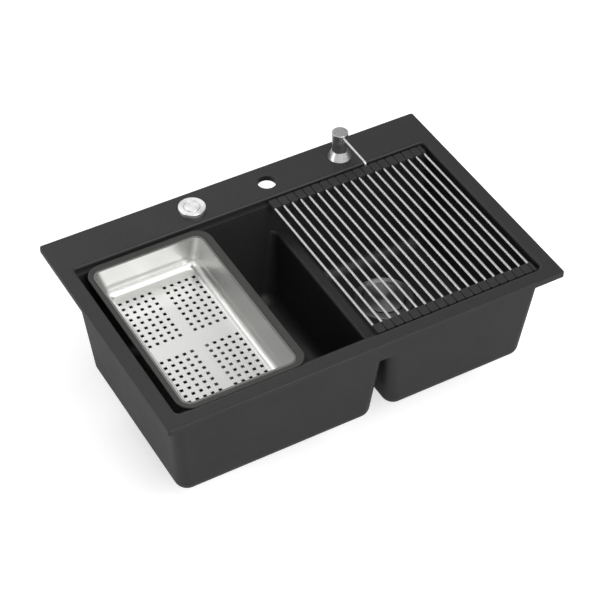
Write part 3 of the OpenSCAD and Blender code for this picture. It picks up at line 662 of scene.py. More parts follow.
@dataclass(frozen=True)
class Stone:
    """Moulded composite: dark resin filled with quartz grains.

    Attributes:
        base: Colour of the resin.
        pale: Its colour where the grain is light.
        fleck: Colour of the quartz grains.
        fine_flecks: Share of that colour in the fine grains.
        coarse_flecks: Share of that colour in the coarse grains.
        roughness: Roughness of the surface.
    """

    base: Colour = (0.0080, 0.0080, 0.0084)
    pale: Colour = (0.0150, 0.0150, 0.0155)
    fleck: Colour = (0.05, 0.05, 0.052)
    fine_flecks: float = 0.55
    coarse_flecks: float = 0.5
    roughness: float = 0.52

    def material(self, effects: Effects) -> bpy.types.Material:
        """Builds the material."""
        f = Finish("moulded_stone")
        fine = f.group(effects.grain, {"Scale": 1500.0, "Fleck Share": 0.10})
        coarse = f.group(effects.grain, {"Scale": 620.0, "Fleck Share": 0.035})
        marks = f.group(effects.smudges, {"Scale": 9.0})
        g = f.graph
        body = g.mix(fine.outputs["Shade"], rgba(self.base), rgba(self.pale))
        spotted = g.mix(g.times(fine.outputs["Fleck"], self.fine_flecks), body, rgba(self.fleck))
        colour = g.mix(g.times(coarse.outputs["Fleck"], self.coarse_flecks), spotted, rgba(self.fleck))
        rough = g.plus(g.ranged(fine.outputs["Shade"], 0, 1, to_low=-0.05, to_high=0.06), self.roughness)
        rough = g.plus(rough, g.ranged(marks.outputs["Mark"], 0, 1, to_low=-0.03, to_high=0.04))
        f.set(Base_Color=colour, Roughness=rough, Specular_IOR_Level=0.5)
        f.relief(fine.outputs["Height"], distance=0.00012, strength=0.35)
        return f.material


@dataclass(frozen=True)
class Brushed:
    """Steel with straight brushed lines.

    Attributes:
        name: Name of the material.
        base: Its colour.
        roughness: Its roughness.
        stretch: Scale of the lines' noise along each axis.
        spread: How much the lines change the roughness.
        relief: Height of the lines in metres.
        shade: Share by which the lines change the colour.
        shaded_satin_rim: Heights in metres between which the metal turns satin and darker, as it stays above
            them;
        the darkening is painted shade in the recess under the frame.
        rim_painted_shade: What the colour is multiplied by there, as painted shade.
        rim_rough: What the roughness gains there.
        painted_highlight_band: Heights in metres of a band lightened as a painted highlight, which fades in
            from the first to the second and out from the third to the fourth.
        highlight_tone: What the colour is multiplied by there.
    """

    name: str
    base: Colour = (0.60, 0.60, 0.59)
    roughness: float = 0.3
    stretch: tuple[float, float, float] = (24.0, 1600.0, 1600.0)
    spread: float = 0.16
    relief: float = 0.00004
    shade: float = 0.14
    shaded_satin_rim: tuple[float, float] | None = None
    rim_painted_shade: float = 0.36
    rim_rough: float = 0.2
    painted_highlight_band: tuple[float, float, float, float] | None = None
    highlight_tone: float = 1.55

    def material(self, effects: Effects) -> bpy.types.Material:
        """Builds the material."""
        f = Finish(self.name)
        lines = f.group(effects.streaks, {"Stretch": self.stretch})
        marks = f.group(effects.smudges, {"Scale": 22.0})
        g = f.graph
        half = self.spread / 2
        rough = g.plus(g.ranged(lines.outputs["Streak"], 0, 1, -half, half), self.roughness)
        rough = g.plus(rough, g.ranged(marks.outputs["Trace"], 0, 1, to_high=0.05))
        low, high = rgba(self.base, 1 - self.shade), rgba(self.base, 1 + self.shade / 2)
        colour = g.mix(lines.outputs["Streak"], low, high)
        height = g.node("SeparateXYZ", {0: f.place}).outputs[2]
        # Near the lip the colour is darkened as painted shade of the recess under the frame; the added
        # roughness is a satin edge
        if self.shaded_satin_rim:
            rim = g.ranged(height, *self.shaded_satin_rim)
            colour = g.mix(rim, colour, rgba(self.base, self.rim_painted_shade))
            rough = g.plus(rough, g.times(rim, self.rim_rough))
        # Painted highlight: a band along the floor's fillet is lightened in colour
        if self.painted_highlight_band:
            rise = g.ranged(height, *self.painted_highlight_band[:2])
            fall = g.ranged(height, *self.painted_highlight_band[2:], to_low=1.0, to_high=0.0)
            highlight_mask = g.times(rise, fall)
            colour = g.mix(highlight_mask, colour, rgba(self.base, self.highlight_tone))
        f.set(Base_Color=colour, Metallic=1.0, Roughness=rough)
        f.relief(lines.outputs["Height"], self.relief, strength=0.5)
        return f.material


@dataclass(frozen=True)
class Turned:
    """Steel or plated metal with the fine rings of a lathe tool or polishing wheel.

    Attributes:
        name: Name of the material.
        centre: Place in millimetres on the rings' upright axis.
        base: Its colour.
        roughness: Its roughness.
        scale: Fineness of the rings.
        relief: Height of the rings in metres.
        stretch: How far the highlights are drawn out across the rings.
    """

    name: str
    centre: Place
    base: Colour = grey(0.60)
    roughness: float = 0.26
    scale: float = 2200.0
    relief: float = 0.000008
    stretch: float = 0.7

    def material(self, effects: Effects) -> bpy.types.Material:
        """Builds the material, whose tangent runs round the axis: the axis crossed with the place from it."""
        f = Finish(self.name, self.centre)
        lines = f.group(effects.rings, {"Scale": self.scale})
        marks = f.group(effects.smudges, {"Scale": 60.0})
        g = f.graph
        rough = g.plus(g.ranged(lines.outputs["Streak"], 0, 1, to_low=-0.03, to_high=0.04), self.roughness)
        rough = g.plus(rough, g.ranged(marks.outputs["Mark"], 0, 1, to_high=0.05))
        round_way = g.vector("CROSS_PRODUCT", (0.0, 0.0, 1.0), f.place)
        turned_way = g.node("VectorTransform", {0: round_way}, convert_from="OBJECT", convert_to="WORLD")
        low, high = rgba(self.base, factor=0.94), rgba(self.base, factor=1.03)
        colour = g.mix(lines.outputs["Streak"], low, high)
        f.set(Base_Color=colour, Metallic=1.0, Roughness=rough)
        f.set(Anisotropic=self.stretch, Anisotropic_Rotation=0.25, Tangent=turned_way.outputs[0])
        f.relief(lines.outputs["Height"], self.relief, strength=0.5)
        return f.material


@dataclass(frozen=True)
class Moulded:
    """Plastic or rubber with a fine moulded grain.

    Attributes:
        name: Name of the material.
        base: Its colour.
        roughness: Its roughness.
        scale: Fineness of the grain.
        relief: Height of the grain in metres.
        specular: Strength of its gloss.
        clear: Share of the light that goes through.
    """

    name: str
    base: Colour = grey(0.08)
    roughness: float = 0.55
    scale: float = 2600.0
    relief: float = 0.00004
    specular: float = 0.5
    clear: float = 0.0

    def material(self, effects: Effects) -> bpy.types.Material:
        """Builds the material."""
        f = Finish(self.name)
        grain = f.group(effects.grain, {"Scale": self.scale, "Fleck Share": 0.02})
        marks = f.group(effects.smudges, {"Scale": 30.0})
        g = f.graph
        dust = g.times(marks.outputs["Trace"], 0.12)
        dusty = g.mix(dust, rgba(self.base, factor=0.86), rgba(grey(0.3)))
        rough = g.plus(g.ranged(grain.outputs["Shade"], 0, 1, to_low=-0.05, to_high=0.06), self.roughness)
        f.set(
            Base_Color=g.mix(grain.outputs["Shade"], dusty, rgba(self.base, factor=1.14, lift=0.004)),
            Roughness=rough,
            Specular_IOR_Level=self.specular,
            Transmission_Weight=self.clear,
        )
        f.relief(grain.outputs["Height"], self.relief, strength=0.4)
        return f.material


class Finishes:
    """Every finish of the sink, built once."""

    def __init__(self) -> None:
        """Builds the shared effects and the materials."""
        e = Effects()
        faint = {"spread": 0.04, "relief": 0.000002, "shade": 0.04}
        self.stone = Stone().material(e)
        self.frame = Moulded("frame_grey", (0.028, 0.028, 0.025), 0.50, 1800.0).material(e)
        # The basket's lip is darkened as painted shade, and a band along its floor's fillet is lightened as a
        # painted highlight
        self.basket = Brushed("basket_steel", (0.60, 0.60, 0.59), 0.32, spread=0.05, relief=0.000012,
                              shade=0.05, shaded_satin_rim=(0.0008, 0.0013),
                              painted_highlight_band=(-0.0567, -0.0555, -0.049, -0.044)).material(e)
        self.bars = Brushed("bar_steel", grey(0.58), 0.34, (900.0, 14.0, 900.0), **faint).material(e)
        self.tube = Brushed("nozzle_chrome", grey(0.66), 0.3, (900.0, 30.0, 900.0), **faint).material(e)
        self.spring = Brushed("spring_wire", grey(0.45), 0.3, (700.0, 700.0, 700.0)).material(e)
        self.dispenser = Turned("dispenser_steel", (203.0, 211.0, 0.0), grey(0.58), 0.27,
                                stretch=0.0).material(e)
        self.control = Turned("control_steel", (-107.0, 211.0, 0.0), grey(0.74), 0.3).material(e)
        # The wastes' steel is darker than the other steel, as painted shade of the bowls they sit in
        self.waste_left = Turned("left_waste_steel", (-168.0, 22.0, 0.0), grey(0.34), 0.45).material(e)
        self.waste_right = Turned("right_waste_steel", (195.0, 22.0, 0.0), grey(0.32), 0.5).material(e)
        self.silicone = Moulded("mat_silicone", grey(0.018), 0.6, 2400.0, specular=0.35).material(e)
        self.zinc = Moulded("plated_zinc", (0.25, 0.25, 0.26), 0.35, 1400.0, specular=0.8).material(e)
        self.seal = Moulded("black_seal", grey(0.012), 0.6).material(e)
        self.nylon = Moulded("black_nylon", (0.022, 0.022, 0.024), 0.42).material(e)
        self.bottle = Moulded("bottle_blow_moulding", (0.78, 0.78, 0.76), 0.32, 900.0, 0.00003,
                              clear=0.35).material(e)
        self.pump = Moulded("white_pump_plastic", (0.72, 0.72, 0.70), 0.38, 1600.0).material(e)


# The sink body


@dataclass(frozen=True)
class Bowl:
    """Walls and fillets of one bowl, inside or outside, in millimetres.

    Attributes:
        top: Left, right, front and back sides at the upper level.
        low: The same sides where the floor's fillet starts.
        top_z: The upper level.
        floor: Level of the floor or of the underside.
        top_r: Corner radius at the upper level.
        floor_r: Radius of the fillet and of the low corners.
        rolled: Index of the side that rolls over the divider's top, or -1.
        roll_r: Radius of that roll.
    """

    top: tuple[float, float, float, float]
    low: tuple[float, float, float, float]
    top_z: float
    floor: float
    top_r: float
    floor_r: float
    rolled: int = -1
    roll_r: float = 6.0

    def lean(self, k: int) -> float:
        """Angle from upright of the line from a side's top edge that just touches the fillet's circle."""
        run = self.inward(k) * (self.low[k] - self.top[k]) + self.floor_r
        drop = self.top_z - self.floor - self.floor_r
        return math.acos(self.floor_r / math.hypot(run, drop)) - math.atan2(drop, run)

    def inward(self, k: int) -> float:
        """Sign of the way into the bowl from a side."""
        return 1.0 if k in (0, 2) else -1.0

    def side(self, k: int, z: Points) -> Points:
        """Works out the place of one side at each height.

        The wall moves in by the depth times the tangent of its lean, then follows the fillet's circle. A
        rolled side starts on a circle that touches both the divider's flat top and the wall.

        Args:
            k: Index of the side.
            z: Heights.

        Returns:
            The side's place along its axis.
        """
        level, lean = self.floor + self.floor_r, self.lean(k)
        run = self.inward(k) * (self.low[k] - self.top[k]) + self.floor_r
        depth = np.clip(level - z, 0.0, self.floor_r)
        fillet = run - np.sqrt(self.floor_r**2 - depth**2)
        wall = (self.top_z - z) * math.tan(lean)
        offset = np.where(z >= level - self.floor_r * math.sin(lean), wall, fillet)
        if k == self.rolled:
            r = self.roll_r
            rise = np.clip(z - self.top_z + r, -r, r)
            roll = np.sqrt(r**2 - rise**2) - r * (1 - math.sin(lean)) / math.cos(lean)
            offset = np.where(z >= self.top_z - r + r * math.sin(lean), roll, offset)
        return self.top[k] + self.inward(k) * offset

    def centre(self, k: int, z: Points | float) -> Points:
        """Corner centres beside a side, on a straight line from the upper level to the fillet's circles."""
        t = np.clip((self.top_z - z) / (self.top_z - self.floor - self.floor_r), 0.0, 1.0)
        upper = self.top[k] + self.inward(k) * self.top_r
        lower = self.low[k] + self.inward(k) * self.floor_r
        return upper + (lower - upper) * t

    def heights(self) -> Points:
        """Heights of the rings: close together on the roll and on the fillet."""
        level = self.floor + self.floor_r
        turn = np.linspace(math.pi / 2, 0.0, 8)
        roll = self.top_z - self.roll_r * (1 - np.sin(turn))
        wall = np.linspace(self.top_z - self.roll_r, level, 6)[1:]
        fillet = level - self.floor_r * np.sin(np.linspace(0.0, math.pi / 2, 15))[1:]
        return np.concatenate([roll, wall, fillet])

    def rings(self, segments: int = 12) -> Points:
        """Rings of the bowl from its upper level to its floor."""
        z = self.heights()
        sides = [self.side(k, z) for k in range(4)]
        left, right = self.centre(0, z) - sides[0], sides[1] - self.centre(1, z)
        front, back = self.centre(2, z) - sides[2], sides[3] - self.centre(3, z)
        wide = np.stack([right, right, left, left], axis=1)
        deep = np.stack([front, back, back, front], axis=1)
        return rounded_rings(sides, np.maximum(wide, 0.0), np.maximum(deep, 0.0), z, segments)


@dataclass
class SinkBody:
    """The one-piece moulded body: rim, deck, ledges, two bowls and the divider; sizes in millimetres.

    Attributes:
        rim: Width, depth and thickness of the rim.
        rim_corner: Radius of its corners in plan.
        rim_edge: Radius of its top edge.
        opening: Left, right, front and back sides of the opening.
        opening_corners: Radii of its front and back corners.
        opening_edge: Radius of its top edge.
        ledge: Width of the front and back ledges.
        leans: How far the left, right, front and back walls come in between the ledges and the floor.
        floor: Level of the floor.
        floor_t: Thickness of the floor.
        wall: Thickness of the walls.
        corner: Radius of the walls' corners at the ledges.
        floor_r: Radius of the floors' fillets.
        crest: Left and right sides of the divider's flat top, and its level.
        divider_leans: How far the divider's sides go out between its top and the fillets.
        bridge: Left and right sides of the divider's underside, and its level.
        notch: The sides under the divider where the outer fillets start.
        shoulder: Reach of the shoulder past the opening, foot of its upright side, and level of its end.
        outer_corner: Radius of the outer corners under the rim.
        deck_holes: Places of the deck's holes along X.
        hole_y: Their place along Y.
        hole_r: Their radius.
        hole_edge: Radius of their top edge.
        wastes: Centres of the waste holes.
        rebate_r: Radius of the rebate for a waste's flange.
        rebate_z: Level of that rebate.
        waste_r: Radius of the hole under it.
        segments: Steps in each corner.
    """

    finish: Finishes
    rim: tuple[float, float, float] = (780.0, 510.0, 11.0)
    rim_corner: float = 5.0
    rim_edge: float = 2.0
    opening: tuple[float, float, float, float] = (-361.0, 361.0, -226.0, 171.5)
    opening_corners: tuple[float, float] = (13.0, 6.0)
    opening_edge: float = 5.0
    ledge: float = 9.4
    leans: tuple[float, float, float, float] = (11.0, 28.0, 2.6, 37.0)
    floor: float = -194.0
    floor_t: float = 10.0
    wall: float = 8.0
    corner: float = 7.0
    floor_r: float = 25.0
    crest: tuple[float, float, float] = (31.0, 55.0, -53.0)
    divider_leans: tuple[float, float] = (18.0, 7.0)
    bridge: tuple[float, float, float] = (41.0, 48.0, -63.0)
    notch: tuple[float, float] = (27.0, 54.0)
    shoulder: tuple[float, float, float] = (9.0, -8.0, -22.0)
    outer_corner: float = 15.0
    deck_holes: tuple[float, float, float] = (-107.0, 48.0, 203.0)
    hole_y: float = 211.0
    hole_r: float = 17.5
    hole_edge: float = 0.6
    wastes: tuple[tuple[float, float], ...] = ((-168.0, 22.0), (195.0, 22.0))
    rebate_r: float = 58.0
    rebate_z: float = -196.5
    waste_r: float = 45.0
    segments: int = 12

    def walls(self, z: float, grow: float = 0.0) -> tuple[float, float, float, float]:
        """Left, right, front and back walls at a height, leaning evenly from the ledge to the floor."""
        t = z / self.floor
        x0, x1, y0, y1 = self.opening
        left, right, front, back = self.leans
        return (
            x0 + left * t - grow,
            x1 - right * t + grow,
            y0 + self.ledge + front * t - grow,
            y1 - self.ledge - back * t + grow,
        )

    def radius(self, z: float, top: float, floor: float) -> float:
        """Corner radius at a height, from the top's to the floor's."""
        return top + (self.floor_r - top) * z / (floor + self.floor_r)

    def hole_rings(self, x: float) -> Points:
        """Rings of a deck hole, its top edge rounded, from the deck to the underside."""
        r, e, top = self.hole_r, self.hole_edge, self.rim[2]
        profile = rounded_profile([(r + 2 * e, top, 0), (r, top, e), (r, 0.0, 0)], closed=False, steps=4)
        return turned(profile, (x, self.hole_y), 64)

    def waste_rings(self, centre: tuple[float, float]) -> Points:
        """Rings of a waste hole: the rebate for its flange, then the bore through the floor."""
        low = self.floor - self.floor_t
        steps = [(self.rebate_r, self.floor), (self.rebate_r, self.rebate_z), (self.waste_r, self.rebate_z)]
        return turned(np.array([*steps, (self.waste_r, low)]), centre, 96)

    def bowls(
        self,
        walls: Sequence[Sequence[float]],
        middle: Sequence[Sequence[float]],
        z: float,
        floor: float,
        r: float,
        rolls: tuple[int, int] = (-1, -1),
    ) -> tuple[Bowl, Bowl]:
        """The left and the right bowl between the walls and the divider.

        Args:
            walls: Walls at the upper level and where the floor's fillet starts.
            middle: Left and right sides of the divider at the same two levels.
            z: The upper level.
            floor: Level of the floor or of the underside.
            r: Corner radius at the upper level.
            rolls: Side of each bowl that rolls over the divider's top, or -1.

        Returns:
            Both bowls.
        """
        top, low = walls
        top_middle, low_middle = middle
        left = (top[0], top_middle[0], *top[2:]), (low[0], low_middle[0], *low[2:])
        right = (top_middle[1], *top[1:]), (low_middle[1], *low[1:])
        shared = (z, floor, r, self.floor_r)
        return Bowl(*left, *shared, rolls[0]), Bowl(*right, *shared, rolls[1])

    def split(self, shell: Shell, pair: tuple[Bowl, Bowl], loops: Sequence[Points]) -> None:
        """Adds two bowls and the flat land between them, and fills their floors round the wastes.

        Args:
            shell: The body's surface.
            pair: The left and the right bowl.
            loops: Loop of the waste in each floor.
        """
        half = 2 * (self.segments + 1)
        rings = [bowl.rings(self.segments) for bowl in pair]
        for ring, loop in zip(rings, loops):
            shell.loft(ring).fill(ring[-1], loop)
        shell.fill(np.concatenate([rings[0][0][:half], rings[1][0][half:]]))

    def build(self) -> None:
        """Works out the whole body and dresses it."""
        shell = Shell()
        seg = self.segments
        half_w, half_d, top = self.rim[0] / 2, self.rim[1] / 2, self.rim[2]
        x0, x1, y0, y1 = self.opening
        holes = [self.hole_rings(x) for x in self.deck_holes]
        wastes = [self.waste_rings(centre) for centre in self.wastes]
        for ring in (*holes, *wastes):
            shell.loft(ring)

        # Outer edge of the rim, its top rounded
        turn = np.linspace(0.0, math.pi / 2, 7)
        inset = np.concatenate([[0.0], self.rim_edge * (1 - np.cos(turn))])
        height = np.concatenate([[0.0], top - self.rim_edge * (1 - np.sin(turn))])
        sides = (inset - half_w, half_w - inset, inset - half_d, half_d - inset)
        rim = rounded_rings(sides, self.rim_corner - inset, self.rim_corner - inset, height, 8)
        shell.loft(rim)

        # Opening, rolled over at its top edge
        turn = np.linspace(0.0, math.pi / 2, 9)
        grow = np.concatenate([self.opening_edge * (1 - np.sin(turn)), [0.0]])
        height = np.concatenate([top - self.opening_edge * (1 - np.cos(turn)), [0.0]])
        front, back = (r + grow for r in self.opening_corners)
        radii = np.stack([front, back, back, front], axis=1)
        mouth = self.walls(0.0)
        along = (mouth[2] + self.corner, mouth[3] - self.corner)
        sides = (x0 - grow, x1 + grow, y0 - grow, y1 + grow)
        opening = rounded_rings(sides, radii, radii, height, seg, along=along)
        shell.loft(opening)
        shell.fill(rim[-1], opening[0], *(ring[0] for ring in holes))

        # Upper part that both bowls share
        crest_z = self.crest[2]
        crest, low = self.walls(crest_z), self.walls(self.floor + self.floor_r)
        r = self.radius(crest_z, self.corner, self.floor)
        sides = [np.array([a, b]) for a, b in zip(mouth, crest)]
        across = (self.crest[0] - r, self.crest[1] + r)
        radii = np.array([self.corner, r])
        upper = rounded_rings(sides, radii, radii, np.array([0.0, crest_z]), seg, across=across)
        shell.loft(upper)
        self.fill_ledges(shell, opening[-1], upper[0])

        # Bowls, divider and floors
        foot = (self.crest[0] - self.divider_leans[0], self.crest[1] + self.divider_leans[1])
        pair = self.bowls((crest, low), (self.crest, foot), crest_z, self.floor, r, (1, 0))
        self.split(shell, pair, [ring[0] for ring in wastes])

        # Underside of the rim, the shoulder and the outside of the bowls
        reach, edge_z, fall_z = self.shoulder
        bridge_z, bottom = self.bridge[2], self.floor - self.floor_t
        under = (x0 - reach, x1 + reach, y0 - reach, y1 + reach)
        fall, bridge = self.walls(fall_z, self.wall), self.walls(bridge_z, self.wall)
        low = self.walls(bottom + self.floor_r, self.wall)
        r = self.radius(bridge_z, self.outer_corner, bottom)
        radii = np.array([self.outer_corner] * 2 + [self.radius(fall_z, self.outer_corner, bottom), r])
        sides = [np.array(values) for values in zip(under, under, fall, bridge)]
        across = (self.bridge[0] - r, self.bridge[1] + r)
        levels = np.array([0.0, edge_z, fall_z, bridge_z])
        outside = rounded_rings(sides, radii, radii, levels, seg, across=across)
        shell.loft(outside)
        shell.fill(rim[0], outside[0], *(ring[-1] for ring in holes))
        pair = self.bowls((bridge, low), (self.bridge, self.notch), bridge_z, bottom, r)
        self.split(shell, pair, [ring[-1] for ring in wastes])
        shell.piece("sink_body_moulding", self.finish.stone, "sink", Slot.COMPOSITE,
                    ["sink_body"], angle=24.0)

    def fill_ledges(self, shell: Shell, outer: Points, inner: Points) -> None:
        """Fills the front and back ledges between the opening and the upper walls.

        Args:
            shell: The body's surface.
            outer: The opening's lowest ring.
            inner: The upper walls' top ring.
        """
        corner = self.segments + 1
        outer_half, inner_half = len(outer) // 2, len(inner) // 2
        outer, inner = np.roll(outer, -corner - 1, axis=0), np.roll(inner, -corner, axis=0)
        shell.fill(np.concatenate([outer[:outer_half], inner[:inner_half][::-1]]))
        shell.fill(np.concatenate([outer[outer_half:], inner[inner_half:][::-1]]))


# The basket and its frame


@dataclass
class Colander:
    """The sliding frame and the perforated basket that hangs in it; sizes in millimetres.

    Attributes:
        outer: Left, right, front and back sides of the frame.
        outer_r: Radius of its corners.
        bevel: The same sides of the bevel's upper edge.
        bevel_r: Radius of that edge's corners.
        skirt: The same sides of the skirt between the ledges.
        levels: Foot of the skirt, underside of the flat band and top of the frame.
        bevel_w: Width of the bevel.
        bevel_h: How far it falls.
        seat_w: Width of the seat that carries the basket.
        seat_z: Level of the seat.
        lip_inset: Gap between the bevel's foot and the basket's lip.
        lip_z: Underside and top of the lip.
        depth: From the seat's level to the basket's underside.
        leans: How far the basket's sides and ends lean in over that depth.
        sheet: Thickness of the sheet.
        mouth_r: Radius of the roll at the basket's mouth.
        foot_r: Width of the fillet round the floor.
        foot_rise: Height of that fillet.
        step_up: Height of the pressed step's middle above the underside.
        step_w: Depth of the step.
        step_h: Height of the step.
        hole: Side of the square drain holes.
        pitch: From one hole to the next along X and Y.
        columns: Number of holes along X.
        rows: Number of holes along Y.
        gap_columns: Pitches between the two middle columns.
        gap_rows: Pitches between the two middle rows.
    """

    finish: Finishes
    outer: tuple[float, float, float, float] = (-347.5, -105.5, -221.0, 167.2)
    outer_r: float = 30.0
    bevel: tuple[float, float, float, float] = (-342.5, -115.0, -214.0, 160.2)
    bevel_r: float = 23.0
    skirt: tuple[float, float, float, float] = (-344.5, -113.0, -214.2, 159.7)
    levels: tuple[float, float, float] = (-6.0, 0.3, 3.6)
    bevel_w: float = 4.5
    bevel_h: float = 1.6
    seat_w: float = 2.8
    seat_z: float = 0.5
    lip_inset: float = 0.4
    lip_z: tuple[float, float] = (0.8, 2.0)
    depth: float = 58.5
    leans: tuple[float, float] = (17.3, 7.3)
    sheet: float = 1.2
    mouth_r: float = 0.9
    foot_r: float = 10.0
    foot_rise: float = 14.5
    step_up: float = 21.0
    step_w: float = 0.8
    step_h: float = 9.0
    hole: float = 6.2
    pitch: tuple[float, float] = (14.71, 14.99)
    columns: int = 10
    rows: int = 18
    gap_columns: int = 2
    gap_rows: int = 3

    def inset_rings(self, box: Sequence[float], radius: float, section: Points) -> Points:
        """Rings of a rounded rectangle, one for each (inset, height) of a section."""
        inset, z = section[:, 0], section[:, 1]
        x0, x1, y0, y1 = box
        r = np.maximum(radius - inset, 0.5)
        return rounded_rings((x0 + inset, x1 - inset, y0 + inset, y1 - inset), r, r, z, 12)

    def build_frame(self) -> None:
        """Works out the frame: flat band, bevel down to the basket, seat and skirt between the ledges."""
        low, rest, top = self.levels
        skirt = rounded_profile([(0, rest, 0), (0, low, 0.8), (3, low, 0)], closed=False, steps=4)[::-1]
        band = [(3, rest, 0), (0, rest, 0.4), (0, top, 1.1), (3, top, 0)]
        w, h, seat = self.bevel_w, self.bevel_h, self.bevel_w + self.seat_w
        inner = [(-1.5, top, 0), (0, top, 1.5), (w, top - h, 0.35), (w, self.seat_z, 0.2),
                 (seat, self.seat_z, 0.4), (seat, low, 0.5), (seat - 1, low, 0)]
        rings = [
            self.inset_rings(self.skirt, self.bevel_r, skirt),
            self.inset_rings(self.outer, self.outer_r, rounded_profile(band, closed=False, steps=8)),
            self.inset_rings(self.bevel, self.bevel_r, rounded_profile(inner, closed=False, steps=6)),
        ]
        shell = Shell().loft(np.concatenate(rings), closed_rows=True)
        shell.piece("colander_frame_moulding", self.finish.frame, "colander_frame", Slot.FRAME,
                    ["colander_frame"], angle=14.0)

    def wall(self, z: Points, inset: Points) -> Points:
        """Rings of the basket's wall, whose sides lean in evenly with depth.

        Args:
            z: Heights of the rings.
            inset: Extra inset of each ring.

        Returns:
            The rings.
        """
        margin = self.bevel_w + self.seat_w + self.lip_inset
        x0, x1, y0, y1 = (b + s * margin for b, s in zip(self.bevel, (1, -1, 1, -1)))
        t = np.clip((self.seat_z - z) / self.depth, 0.0, 1.0)
        side, end = self.leans[0] * t + inset, self.leans[1] * t + inset
        r = self.bevel_r - margin - 2.0 * t - inset * 0.5
        return rounded_rings((x0 + side, x1 - side, y0 + end, y1 - end), r, r, z, 12)

    def face(self, inner: bool) -> Points:
        """Works out one face of the basket from its lip down to the edge of its flat floor.

        The floor's fillet is a quarter ellipse: the inset grows by r (1 - cos a) while the height falls by
        h sin a. The pressed step eases in by b b (3 - 2 b) of its depth, where b is the share of its height.

        Args:
            inner: Whether it is the face inside the basket.

        Returns:
            The face's rings.
        """
        t = self.sheet if inner else 0.0
        base = self.seat_z - self.depth
        step = base + self.step_up
        r = self.foot_r - t
        upper = np.linspace(self.lip_z[0 if not inner else 1], step + self.step_h / 2, 7)
        bead = np.linspace(0.0, 1.0, 11)[1:]
        lower = np.linspace(step - self.step_h / 2, base + self.foot_rise, 4)[1:]
        turn = np.linspace(0.0, math.pi / 2, 12)[1:]
        fillet = base + t + (self.foot_rise - t) * (1 - np.sin(turn))
        z = np.concatenate([upper, step + self.step_h * (0.5 - bead), lower, fillet])
        eased = self.step_w * bead * bead * (3 - 2 * bead)
        held = np.full(len(lower), self.step_w)
        inset = np.concatenate([np.zeros(len(upper)), eased, held, self.step_w + r * (1 - np.cos(turn))]) + t
        return self.wall(z, inset)

    def hole_loops(self) -> Points:
        """Works out four rings of every drain hole: its rolled edge, from the floor's top face, and its wall.

        Returns:
            An array of holes by rings by points by three.
        """
        x0, x1, y0, y1 = self.bevel
        half_x, half_y = self.columns // 2, self.rows // 2
        i = np.arange(self.columns) + (np.arange(self.columns) >= half_x) * (self.gap_columns - 1)
        j = np.arange(self.rows) + (np.arange(self.rows) >= half_y) * (self.gap_rows - 1)
        x = (x0 + x1) / 2 + (i - i[-1] / 2) * self.pitch[0]
        y = (y0 + y1) / 2 + (j - j[-1] / 2) * self.pitch[1]
        base, top = self.seat_z - self.depth, self.seat_z - self.depth + self.sheet
        half = np.array([0.30, 0.09, 0.0, 0.0]) + self.hole / 2
        z = np.array([top, top - 0.09, top - 0.30, base])
        one = rounded_rings((-half, half, -half, half), half * 0.22, half * 0.22, z, 3)
        centres = np.stack(np.meshgrid(x, y, indexing="ij"), axis=-1).reshape(-1, 2)
        shift = np.column_stack([centres, np.zeros(len(centres))])
        return one[None] + shift[:, None, None]

    def build_basket(self) -> None:
        """Works out the basket: lip, leaning walls with a pressed step, rounded foot and perforated floor."""
        x0, x1, y0, y1 = self.bevel
        low, high = self.lip_z
        out = self.bevel_w + self.lip_inset
        lip = rounded_profile([(out + 3, low, 0), (out, low, 0.4), (out, high, 0.55), (out + 2.4, high, 0)],
                              closed=False, steps=5)
        edge = self.inset_rings((x0, x1, y0, y1), self.bevel_r, lip)
        outer, inner = self.face(False), self.face(True)
        turn = np.linspace(0.0, math.pi / 2, 6)
        lead = self.sheet + self.mouth_r * (np.sin(turn) - 1.0)
        mouth = self.wall(high - self.mouth_r * (1 - np.cos(turn)), lead)
        holes = self.hole_loops()
        shell = Shell().loft(np.concatenate([outer[::-1], edge, mouth, inner[1:]]))
        for loops in holes:
            shell.loft(loops)
        shell.fill(inner[-1], *holes[:, 0])
        shell.fill(outer[-1], *holes[:, -1])
        shell.piece("colander_basket_pressing", self.finish.basket, "colander_basket", Slot.BASKET,
                    ["colander_basket"], angle=40.0)

    def build(self) -> None:
        """Builds the frame and the basket."""
        self.build_frame()
        self.build_basket()


# The drying mat


